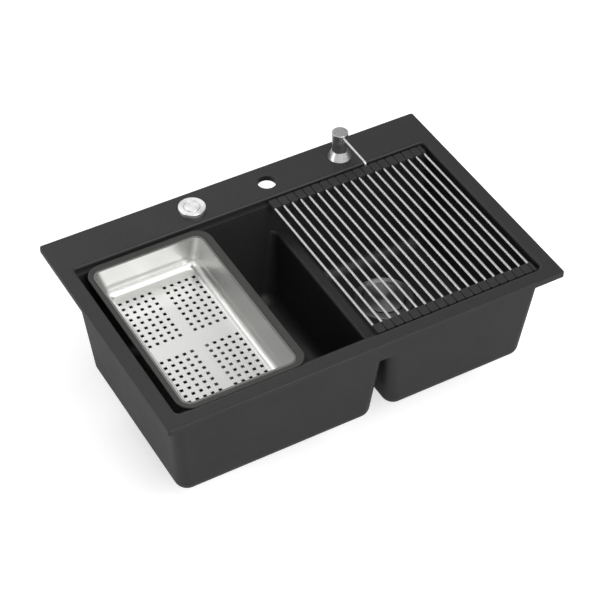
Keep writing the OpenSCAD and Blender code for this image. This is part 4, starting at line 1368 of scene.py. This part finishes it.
@dataclass
class DryingMat:
    """The roll-up mat: silicone segments at the bars' ends, and the bars; sizes in millimetres.

    Attributes:
        left: Left side of the mat.
        right: Right side of the mat.
        pitch: From one segment to the next.
        count: Number of segments.
        rolling: How many of them roll up.
        seam: Gap between two segments.
        z: Underside and top of the segments.
        front: Front and back ends of the front strip.
        back: Front and back ends of the back strip.
        foot_r: Rounding of the segments' lower edges.
        edge_r: Rounding of their upper edges.
        corner_r: Radius of their outer corners in plan.
        bar_side_r: Radius of their inner corners in plan.
        bar_d: Diameter of the bars.
        bar_inset: Distance of a bar behind its segment's left edge.
        bar_chamfer: Chamfer of the bars' hidden ends.
        grip: How far a bar reaches into each strip.
        web: Underside and top of the web that joins the flat segments.
        web_inset: Distance of the web from the strip's ends.
    """

    finish: Finishes
    left: float = 25.4
    right: float = 353.4
    pitch: float = 17.77
    count: int = 19
    rolling: int = 7
    seam: float = 0.5
    z: tuple[float, float] = (0.3, 8.5)
    front: tuple[float, float] = (-222.5, -200.5)
    back: tuple[float, float] = (144.0, 167.2)
    foot_r: float = 0.35
    edge_r: float = 1.8
    corner_r: float = 3.0
    bar_side_r: float = 1.8
    bar_d: float = 5.0
    bar_inset: float = 3.6
    bar_chamfer: float = 0.6
    grip: float = 12.0
    web: tuple[float, float] = (0.9, 2.1)
    web_inset: float = 2.0

    def block(self, shell: Shell, index: int, reach: tuple[float, float], at_front: bool) -> None:
        """Adds one segment: a block whose top edges and whose outer corners in plan are rounded.

        Args:
            shell: The strip's surface.
            index: Number of the segment, from 1.
            reach: Front and back ends of the strip.
            at_front: Whether the outer corners are the front ones.
        """
        x0 = self.left + (index - 1) * self.pitch + self.seam / 2
        x1 = (self.right if index == self.count else x0 + self.pitch) - self.seam
        low, high = self.z
        turn = np.linspace(0.0, math.pi / 2, 7)
        inset = np.concatenate([self.foot_r * (1 - np.sin(turn)), self.edge_r * (1 - np.cos(turn))])
        z = np.concatenate([low + self.foot_r * (1 - np.cos(turn)), high - self.edge_r * (1 - np.sin(turn))])
        inner = np.maximum(self.bar_side_r - inset, 0.08)
        outer = np.maximum(self.corner_r - inset, 0.1)
        radii = np.stack([outer, inner, inner, outer] if at_front else [inner, outer, outer, inner], axis=1)
        sides = (x0 + inset, x1 - inset, reach[0] + inset, reach[1] - inset)
        shell.solid(rounded_rings(sides, radii, radii, z, 5))

    def join(self, shell: Shell, first: int, last: int, reach: tuple[float, float]) -> None:
        """Adds the thin web that joins the segments that stay flat."""
        x0, x1 = self.left + (first - 0.5) * self.pitch, self.left + (last - 0.7) * self.pitch
        sides = (x0, x1, reach[0] + self.web_inset, reach[1] - self.web_inset)
        shell.solid(rounded_rings(sides, 1.0, 1.0, np.array(self.web), 3))

    def bar(self, shell: Shell, index: int) -> None:
        """Adds one bar: a round tube along Y whose hidden ends are chamfered."""
        x = self.left + (index - 1) * self.pitch + self.bar_inset
        z = sum(self.z) / 2
        y0, y1 = self.front[1] - self.grip, self.back[0] + self.grip
        cut = self.bar_chamfer
        y = np.concatenate([[y0, y0 + cut], np.linspace(y0 + 20, y1 - 20, 8), [y1 - cut, y1]])
        path = np.column_stack([np.full(len(y), x), y, np.full(len(y), z)])
        r = np.full(len(y), self.bar_d / 2)
        r[[0, -1]] -= cut
        shell.solid(tube(path, r, (1.0, 0.0, 0.0), 32))

    def build(self) -> None:
        """Builds a pair of pieces for each segment that rolls up and a pair for the part that stays flat."""
        groups = [(k, k, f"mat_segment_{k}", f"mat_caps_{k:02d}") for k in range(1, self.rolling + 1)]
        groups.append((self.rolling + 1, self.count, "mat", "mat_caps_fixed"))
        for first, last, body, caps in groups:
            strips, bars = Shell(), Shell()
            for index in range(first, last + 1):
                self.block(strips, index, self.front, True)
                self.block(strips, index, self.back, False)
                self.bar(bars, index)
            if last > first:
                self.join(strips, first, last, self.front)
                self.join(strips, first, last, self.back)
            strips.piece(f"{body}_strips", self.finish.silicone, body, Slot.SILICONE, [caps])
            nodes = [f"mat_bar_{index:02d}" for index in range(first, last + 1)]
            bars.piece(f"{body}_bars", self.finish.bars, body, Slot.BARS, nodes)


# Fittings on the deck


@dataclass
class DeckFitting:
    """What the dispenser and the waste control share, in millimetres: shank, washer, back nut and spring.

    Attributes:
        finish: Every finish.
        x: Place of the axis along X.
        name: Start of the names of the pieces and of the CAD nodes.
        travel: How far the joint presses the spring; not used.
        y: Place of the axis along Y.
        deck: Level of the deck.
        shank_r: Outer radius of the thread.
        shank_len: Length of the shank under the deck.
        step_z: Level at which the shank's bore narrows.
        bore_r: Radius of the narrow bore.
        thread: Depth of the thread.
        thread_pitch: Its pitch.
        nut_r: Radius of the nut's corners.
        nut_z: Lower and upper face of the nut.
        nut_bore: Radius of its bore and of the washer's.
        washer_r: Radius of the washer.
    """

    finish: Finishes
    x: float
    name: str
    travel: float
    y: float = 211.0
    deck: float = 11.0
    shank_r: float = 17.0
    shank_len: float = 40.0
    step_z: float = -2.0
    bore_r: float = 12.0
    thread: float = 0.55
    thread_pitch: float = 2.0
    nut_r: float = 27.0
    nut_z: tuple[float, float] = (-13.0, -3.0)
    nut_bore: float = 17.3
    washer_r: float = 24.5

    @property
    def centre(self) -> tuple[float, float]:
        """Place of the fitting's axis."""
        return self.x, self.y

    def polar(self, r: Points, a: Points, z: Points) -> Points:
        """Points at a distance from the axis, at an angle round it and at a height."""
        return np.stack([self.x + r * np.cos(a), self.y + r * np.sin(a), np.broadcast_to(z, r.shape)], axis=2)

    def lathe(
        self,
        name: str,
        points: Sequence[Sequence[float]],
        material: bpy.types.Material,
        body: str,
        slot: Slot,
        node: str,
        segments: int = 96,
    ) -> None:
        """Turns a section with rounded corners into a piece.

        A section that starts on the axis also ends there.

        Args:
            name: Name of the piece.
            points: Corners as (r, z, radius).
            material: Its finish.
            body: CAD body that it moves with.
            slot: The record's material slot; not used.
            node: CAD node that it replaces.
            segments: Steps round the axis.
        """
        hollow = points[0][0] > 0
        rings = turned(rounded_profile(points, closed=hollow), self.centre, segments)
        Shell().loft(rings, closed_rows=hollow).piece(name, material, body, slot, [node], angle=30.0)

    def threaded(self, low: float, high: float, rows: int = 180, segments: int = 64) -> Points:
        """Rings of a threaded surface.

        The radius falls below its full size by the thread's depth times a triangle wave of height over pitch
        less the turn round the axis, and the thread fades out over the last millimetres at each end.

        Args:
            low: Lower end.
            high: Upper end.
            rows: Number of rings.
            segments: Steps round the axis.

        Returns:
            The rings.
        """
        z = np.linspace(low, high, rows)[:, None]
        a = np.linspace(0.0, 2 * math.pi, segments, endpoint=False)[None, :]
        phase = (z / self.thread_pitch - a / (2 * math.pi)) % 1.0
        wave = 1.0 - np.abs(2 * phase - 1.0)
        fade = np.clip(np.minimum(z - low, high - z) / 2.0, 0.0, 1.0)
        return self.polar(self.shank_r - self.thread * (fade * wave + (1 - fade)), a, z)

    def shank(self, top_r: float, foot: Sequence[Sequence[float]]) -> None:
        """Builds the shank: threaded below the deck, plain in the deck's hole, with its stepped bore.

        Args:
            top_r: Radius of the wide bore above the step.
            foot: Corners from the narrow bore's lower end to the thread's foot, as (r, z, radius).
        """
        inside = [(top_r, self.deck, 0.3), (top_r, self.step_z, 0.2), (self.bore_r, self.step_z, 0.2), *foot]
        threads = self.threaded(-self.shank_len, -0.5)
        plain = turned(np.array([(self.shank_r, 0.0), (self.shank_r, self.deck)]), self.centre, 64)
        rest = turned(rounded_profile(inside, closed=False, steps=3), self.centre, 64)
        shell = Shell().loft(np.concatenate([threads, plain, rest]), closed_rows=True)
        shell.piece(f"{self.name}_threaded_shank", self.finish.zinc, "sink", Slot.ZINC,
                    [f"{self.name}_shank"], angle=35.0)

    def nut(self) -> None:
        """Builds the hexagonal back nut.

        The outline's radius at an angle is the flats' distance over the cosine of the angle from the middle
        of its flat, cut by a chamfer circle that grows from each face.
        """
        low, high = self.nut_z
        z = np.array([low, low + 1.2, low + 2.4, high - 2.4, high - 1.2, high])
        limit = self.nut_r - np.array([2.6, 1.0, 0.0, 0.0, 1.0, 2.6])
        a = np.linspace(0.0, 2 * math.pi, 96, endpoint=False)[None, :]
        flat = self.nut_r * math.cos(math.pi / 6) / np.cos(a % (math.pi / 3) - math.pi / 6)
        r = np.minimum(flat, limit[:, None])
        outer = self.polar(r, a, z[:, None])
        cut, bore = 0.7, self.nut_bore
        section = [(bore + cut, high), (bore, high - cut), (bore, low + cut), (bore + cut, low)]
        inner = turned(np.array(section), self.centre, 96)
        shell = Shell().loft(np.concatenate([outer, inner]), closed_rows=True)
        shell.piece(f"{self.name}_back_nut", self.finish.zinc, "sink", Slot.ZINC,
                    [f"{self.name}_nut"], angle=20.0)

    def washer(self) -> None:
        """Builds the rubber washer under the deck."""
        r, bore, low = self.washer_r, self.nut_bore, self.nut_z[1]
        self.lathe(f"{self.name}_rubber_washer",
                   [(bore, low, 0.3), (r, low, 1.0), (r, 0.0, 1.0), (bore, 0.0, 0.3)],
                   self.finish.seal, "sink", Slot.SEAL, f"{self.name}_washer", 64)

    def spring(
        self, name: str, joint: str, radius: float, wire: float, low: float, high: float, turns: float
    ) -> None:
        """Builds a helical spring that stands on the sink's body.

        The centreline climbs evenly while it turns at a constant radius, with a nearly flat turn at each end.

        Args:
            name: Name of the CAD node, and start of the piece's name.
            joint: Joint that presses it; not used.
            radius: Outer radius.
            wire: Diameter of the wire.
            low: Lower end.
            high: Upper end.
            turns: Number of turns.
        """
        steps = int(turns * 28)
        s = np.linspace(0.0, 1.0, steps)
        a = 2 * math.pi * turns * s
        end = 1.0 / turns
        flat = wire / (high - low)
        inner = np.clip((s - end) / (1 - 2 * end), 0.0, 1.0)
        ends = np.clip(s / end, 0, 1) + np.clip((s - 1 + end) / end, 0, 1)
        climb = flat * ends + (1 - 2 * flat) * inner
        r = radius - wire / 2
        z = low + wire / 2 + (high - low - wire) * climb
        path = np.column_stack([self.x + r * np.cos(a), self.y + r * np.sin(a), z])
        shell = Shell().solid(tube(path, wire / 2, (0.0, 0.0, 1.0), 10))
        piece = shell.piece(f"{name}_coil", self.finish.spring, "sink", Slot.SPRING, [name],
                            angle=60.0, weighted=False)
        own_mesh(piece)


@dataclass
class SoapDispenser(DeckFitting):
    """The dispenser: conical collar, pump head with its nozzle, bottle and pump under the deck.

    Attributes:
        head_r: Radius of the head's foot and of its top.
        head_z: Levels of the same two.
        head_roof: Level of the hollow's roof.
        head_wall: Thickness of the head's wall.
        collar_r: Radius of the cone's foot.
        collar_h: Its height.
        mouth_r: Radius of its bore.
        bore: Radius of the shank's wide bore.
        nozzle_z: Level of the nozzle.
        nozzle_r: Outer and inner radius of its tube.
        nozzle_y: Places of its root and of its tip.
        nozzle_bend: Radius of its bend.
        nozzle_drop: Length of its end below the bend.
        bottle: Radius of the bottle, its base and the top of its neck.
        bottle_t: Thickness of its wall.
        shoulder: Lower and upper level of its shoulder.
        neck_r: Radius of its bore.
        barrel: Outer radius of the pump's barrel, its base and the top of its floor.
        barrel_t: Thickness of its wall.
        flange: Radius of its flange and the flange's two faces.
        rod_r: Inner and outer radius of the piston's rod and of the barrel's lower end.
        inlet_z: Level of that end.
        piston: Radius of the piston and its two faces.
        piston_top: Top of its rod.
        dip_tube: Inner and outer radius of the dip tube and its foot.
    """

    x: float = 203.0
    name: str = "dispenser"
    travel: float = 12.0
    head_r: tuple[float, float] = (13.7, 15.5)
    head_z: tuple[float, float] = (13.0, 68.5)
    head_roof: float = 58.0
    head_wall: float = 1.5
    collar_r: float = 22.25
    collar_h: float = 16.5
    mouth_r: float = 14.8
    bore: float = 15.4
    nozzle_z: float = 61.5
    nozzle_r: tuple[float, float] = (2.2, 1.4)
    nozzle_y: tuple[float, float] = (206.0, 119.0)
    nozzle_bend: float = 4.5
    nozzle_drop: float = 2.0
    bottle: tuple[float, float, float] = (33.0, -160.0, -22.0)
    bottle_t: float = 2.0
    shoulder: tuple[float, float] = (-53.0, -42.0)
    neck_r: float = 17.3
    barrel: tuple[float, float, float] = (10.5, -46.0, -44.0)
    barrel_t: float = 1.5
    flange: tuple[float, float, float] = (15.0, -2.0, 0.5)
    rod_r: tuple[float, float] = (2.0, 4.0)
    inlet_z: float = -56.0
    piston: tuple[float, float, float] = (8.6, -14.0, -8.0)
    piston_top: float = 57.9
    dip_tube: tuple[float, float, float] = (4.05, 5.05, -152.0)

    def nozzle(self) -> None:
        """Builds the nozzle: a bored tube that runs level to the front and turns down at its end.

        The centreline is straight, then a quarter circle of the bend's radius, then straight down.
        """
        root, tip = self.nozzle_y
        bend, z = self.nozzle_bend, self.nozzle_z
        a = np.linspace(0.0, math.pi / 2, 10)
        y = np.concatenate([np.linspace(root, tip + bend, 12), tip + bend - bend * np.sin(a[1:]), [tip] * 3])
        down = np.linspace(0.0, self.nozzle_drop, 4)[1:]
        height = np.concatenate([np.full(12, z), z - bend * (1 - np.cos(a[1:])), z - bend - down])
        path = np.column_stack([np.full(len(y), self.x), y, height])
        outer_r, inner_r = self.nozzle_r
        r = np.full(len(path), outer_r)
        r[-1] = (outer_r + inner_r) / 2
        outer, inner = tube(path, r, (1.0, 0.0, 0.0), 32), tube(path, inner_r, (1.0, 0.0, 0.0), 32)
        shell = Shell().loft(np.concatenate([outer, inner[::-1]]), closed_rows=True)
        shell.piece("dispenser_spout_tube", self.finish.tube, "dispenser_head", Slot.TUBE,
                    ["dispenser_nozzle"], angle=50.0)

    def build(self) -> None:
        """Builds the dispenser from the deck up, then what hangs under the deck."""
        self.head()
        self.nozzle()
        self.shank(self.bore, [(self.bore_r, -self.shank_len, 0.3)])
        self.washer()
        self.nut()
        self.pump()

    def head(self) -> None:
        """Builds the cone on the deck and the head that is pressed."""
        deck, mouth, foot, crest = self.deck, self.mouth_r, self.collar_r, self.deck + self.collar_h
        cone = [(mouth, deck, 0.1), (foot, deck, 0.1), (foot, deck + 0.9, 0.4), (mouth + 0.4, crest, 0.2),
                (mouth, crest, 0.1)]
        steel = self.finish.dispenser
        self.lathe("dispenser_cone", cone, steel, "sink", Slot.STEEL, "dispenser_collar")
        low, top = self.head_z
        foot_r, top_r = self.head_r
        inside = foot_r - self.head_wall
        head = [(0, self.head_roof, 0), (inside, self.head_roof, 0.5), (inside, low, 0.2), (foot_r, low, 0.4),
                (top_r, top, 1.0), (0, top, 0)]
        self.lathe("dispenser_push_head", head, steel, "dispenser_head", Slot.STEEL, "dispenser_head")

    def pump(self) -> None:
        """Builds the bottle, the pump's barrel, piston and spring, and the dip tube."""
        f = self.finish
        r, base, top = self.bottle
        t, neck, (low, high) = self.bottle_t, self.neck_r, self.shoulder
        bottle = [(0, base, 0), (r - t, base, 3), (r, base + 3, 3), (r, low, 8), (neck + 2.5, high, 2),
                  (neck + 2.5, top, 0.6), (neck, top, 0.4), (neck, high - t, 1.5), (r - t, low - t, 6),
                  (r - t, base + t, 2.5), (0, base + t, 0)]
        self.lathe("dispenser_bottle_blown", bottle, f.bottle, "sink", Slot.BOTTLE, "dispenser_bottle")
        inner, outer = self.rod_r
        (r, base, floor), t, (rim, under, over) = self.barrel, self.barrel_t, self.flange
        barrel = [(inner, self.inlet_z, 0.2), (outer, self.inlet_z, 0.4), (outer, base, 0.5), (r, base, 0.6),
                  (r, under, 0.5), (rim, under, 0.3), (rim, over, 0.3), (r - t, over, 0.3),
                  (r - t, floor, 0.5), (inner, floor, 0.2)]
        self.lathe("pump_barrel_moulding", barrel, f.pump, "sink", Slot.PUMP, "pump_barrel", 64)
        (r, low, high), top = self.piston, self.piston_top
        piston = [(inner, low, 0.2), (r, low, 0.4), (r, high, 0.4), (outer, high, 0.6), (outer, top, 0.2),
                  (inner, top, 0.1)]
        self.lathe("pump_piston_moulding", piston, f.pump, "pump", Slot.PUMP, "pump_piston", 64)
        inner, outer, foot = self.dip_tube
        straw = [(inner, foot, 0.2), (outer, foot, 0.3), (outer, base, 0.2), (inner, base, 0.2)]
        self.lathe("soap_dip_tube", straw, f.pump, "sink", Slot.PUMP, "dip_tube", 32)
        self.spring("pump_spring", "pump_press", 7.0, 1.2, floor, low, 8.0)


@dataclass
class WasteControl(DeckFitting):
    """The push-button that opens the left waste through a cable, of which only the gland is modelled.

    Attributes:
        collar_r: Radius of the ring on the deck.
        collar_h: Its height.
        bore: Radius of its bore and of the shank's wide bore.
        button_r: Radius of the button.
        button_z: Its underside and its top.
        stem: Inner and outer radius of the stem under it, and the stem's foot.
        seat_z: Floor of the shank's bore.
        gland: Inner and outer radius of the cable's gland, and its foot.
    """

    x: float = -107.0
    name: str = "control"
    travel: float = 6.0
    collar_r: float = 25.5
    collar_h: float = 7.0
    bore: float = 15.15
    button_r: float = 14.75
    button_z: tuple[float, float] = (8.5, 18.3)
    stem: tuple[float, float, float] = (2.5, 4.0, -26.5)
    seat_z: float = -34.0
    gland: tuple[float, float, float] = (2.5, 7.0, -52.0)

    def build(self) -> None:
        """Builds the control from the deck up, then what hangs under the deck."""
        steel, deck, bore, r = self.finish.control, self.deck, self.bore, self.collar_r
        crest = deck + self.collar_h
        ring = [(bore, deck, 0.1), (r, deck, 0.1), (r, crest, 1.2), (bore, crest, 0.6)]
        self.lathe("control_ring", ring, steel, "sink", Slot.STEEL, "control_collar")
        low, top = self.button_z
        inner, outer, foot = self.stem
        button = [(0, low, 0), (inner, low, 0), (inner, foot, 0.2), (outer, foot, 0.4), (outer, low, 0.3),
                  (self.button_r, low, 0.4), (self.button_r, top, 0.8), (0, top, 0)]
        self.lathe("control_push_button", button, steel, "control_button", Slot.STEEL, "control_button")
        inner, outer, foot = self.gland
        self.shank(bore, [(self.bore_r, self.seat_z, 0.4), (inner, self.seat_z, 0.2), (inner, foot, 0.3),
                          (outer, foot, 0.6), (outer, -self.shank_len, 0.2)])
        self.washer()
        self.nut()
        self.spring("control_spring", "control_press", 9.5, 1.4, self.seat_z, low, 9.0)


# The wastes


@dataclass
class Wastes:
    """The two strainer wastes, whose CAD solids are carried over with smooth round faces."""

    finish: Finishes

    def build(self) -> None:
        """Dresses every piece of both wastes."""
        f = self.finish
        for side, steel in (("left", f.waste_left), ("right", f.waste_right)):
            for part in ("flange", "plug", "screw"):
                smooth_copy(f"waste_{side}_{part}", steel)
            smooth_copy(f"waste_{side}_body", f.nylon)
            smooth_copy(f"waste_{side}_gasket", f.seal)
        smooth_copy("waste_left_lift_pin", f.waste_left)
        smooth_copy("waste_left_cam", f.pump)


# Camera, light and floor


@dataclass(frozen=True)
class Lamp:
    """A rectangular soft lamp that faces the middle of the sink; sizes in metres, power in watts."""

    name: str
    place: Place
    size: tuple[float, float]
    power: float


@dataclass
class Studio:
    """The photograph's view, soft white light and a pale floor; sizes in metres.

    Attributes:
        location: The camera's place.
        forward: The way it looks.
        right: The way to the right of its picture.
        up: The way to the top of its picture.
        lens: Its focal length in millimetres.
        floor_z: Level of the floor.
        floor_size: Side of the floor.
        floor_colour: Colour of the floor.
        surround: Strength of the surroundings as light.
        walls: Strength of their sides in gloss.
        ceiling: Strength of their ceiling in gloss.
        ceiling_from: Upward parts of a ray's direction between which the ceiling begins.
        floor_glow: Glow of the near floor to the camera.
        far_squared: Squared distances from the middle between which that glow grows to one.
        floor_gloss: Glow of the floor in gloss.
        lamps: The lamps.
    """

    location: Place = (-1.28448, -2.22432, 2.39649)
    forward: Place = (0.3596, 0.62143, -0.69607)
    right: Place = (0.86946, -0.49393, 0.0082)
    up: Place = (0.33871, 0.60815, 0.71793)
    lens: float = 118.442
    floor_z: float = -0.2875
    floor_size: float = 12.0
    floor_colour: Colour = grey(0.80)
    surround: float = 0.14
    walls: float = 0.9
    ceiling: float = 0.03
    ceiling_from: tuple[float, float] = (0.45, 0.72)
    floor_glow: float = 0.62
    far_squared: tuple[float, float] = (0.8, 4.0)
    floor_gloss: float = 0.10
    lamps: tuple[Lamp, ...] = (
        Lamp("soft_key", (1.25, -2.1, 2.35), (2.0, 1.4), 41.0),
        Lamp("soft_front", (-0.1, -2.7, 2.2), (2.0, 1.4), 37.0),
        Lamp("soft_top", (0.0, 0.0, 3.0), (2.4, 2.0), 27.0),
        Lamp("soft_back", (-0.1, 2.3, 2.5), (2.6, 1.2), 18.0),
        Lamp("soft_left", (-2.3, 0.6, 0.6), (1.4, 1.0), 14.0),
    )

    def camera(self) -> None:
        """Places the camera at the photograph's viewing angle."""
        data = bpy.data.cameras.new("photo_view")
        data.lens, data.sensor_width = self.lens, 36.0
        camera = linked("photo_view", data)
        axes = Matrix((self.right, self.up, tuple(-c for c in self.forward))).transposed().to_4x4()
        camera.matrix_world = Matrix.Translation(self.location) @ axes
        bpy.context.scene.camera = camera

    def rays(self, graph: Graph) -> tuple[bpy.types.NodeSocket, bpy.types.NodeSocket, bpy.types.NodeSocket]:
        """Masks of the rays from the camera or through clear plastic, of glossy and of diffuse rays."""
        path = graph.node("LightPath").outputs
        plain = graph.math("MAXIMUM", path["Is Camera Ray"], path["Is Transmission Ray"])
        return plain, path["Is Glossy Ray"], path["Is Diffuse Ray"]

    def world(self) -> None:
        """Sets the surroundings: white to the camera, nearly white in gloss and softer as light.

        In gloss the ceiling is dim. It begins where the upward part of a ray's direction passes from the
        first number of ceiling_from to the second.
        """
        world = bpy.data.worlds.new("white_studio")
        bpy.context.scene.world = world
        world.use_nodes = True
        graph = Graph(world.node_tree)
        plain, glossy, diffuse = self.rays(graph)
        direction = graph.node("SeparateXYZ", {0: graph.node("TexCoord").outputs["Generated"]})
        gloss = graph.ranged(direction.outputs[2], *self.ceiling_from, self.walls, self.ceiling)
        light = graph.plus(graph.times(gloss, glossy), graph.times(self.surround, diffuse))
        back = graph.node("Background", {"Color": rgba(grey(1.0)), "Strength": graph.plus(light, plain)})
        graph.join(graph.node("OutputWorld"), back.outputs[0])

    def hang(self, lamp: Lamp) -> None:
        """Hangs a lamp and turns it to the middle of the sink."""
        data = bpy.data.lights.new(lamp.name, "AREA")
        data.shape, data.size, data.size_y, data.energy = "RECTANGLE", *lamp.size, lamp.power
        hung = linked(lamp.name, data)
        hung.location = lamp.place
        hung.rotation_euler = (-Vector(lamp.place)).to_track_quat("-Z", "Y").to_euler()

    def floor(self) -> None:
        """Lays the pale floor under the lowest piece, which glows white to the camera in the distance.

        The glow grows with x x + y y, the squared distance from the middle, between the two numbers of
        far_squared.
        """
        half = self.floor_size / 2
        plan = ((-half, -half), (half, -half), (half, half), (-half, half))
        corners = [(x, y, self.floor_z) for x, y in plan]
        mesh = bpy.data.meshes.new("studio_floor")
        mesh.from_pydata(corners, [], [(0, 1, 2, 3)])
        material = bpy.data.materials.new("pale_floor")
        material.use_nodes = True
        graph = Graph(material.node_tree)
        plain, glossy, _ = self.rays(graph)
        place = graph.node("SeparateXYZ", {0: graph.node("TexCoord").outputs["Object"]})
        x, y = place.outputs[:2]
        white = graph.ranged(graph.plus(graph.times(x, x), graph.times(y, y)), *self.far_squared,
                             self.floor_glow, 1.0)
        shader = graph.node("BsdfPrincipled", {
            "Base Color": rgba(self.floor_colour),
            "Roughness": 0.9,
            "Specular IOR Level": 0.1,
            "Emission Color": rgba(grey(1.0)),
            "Emission Strength": graph.plus(graph.times(plain, white), graph.times(glossy, self.floor_gloss)),
        })
        graph.join(graph.node("OutputMaterial"), shader.outputs[0])
        mesh.materials.append(material)
        obj = linked("studio_floor", mesh)

    def build(self) -> None:
        """Sets up the view, the light and the floor."""
        self.camera()
        self.world()
        for lamp in self.lamps:
            self.hang(lamp)
        self.floor()
        bpy.context.scene.view_settings.view_transform = "Standard"


def main() -> None:
    """Builds the studio and every sub-assembly in order."""
    logging.basicConfig(level=logging.INFO, format="%(message)s", stream=sys.stdout)
    finishes = Finishes()
    parts = (
        Studio(),
        SinkBody(finishes),
        Colander(finishes),
        DryingMat(finishes),
        SoapDispenser(finishes),
        WasteControl(finishes),
        Wastes(finishes),
    )
    for part in parts:
        part.build()
        log.info("%s built", type(part).__name__)


if __name__ == "__main__":
    main()
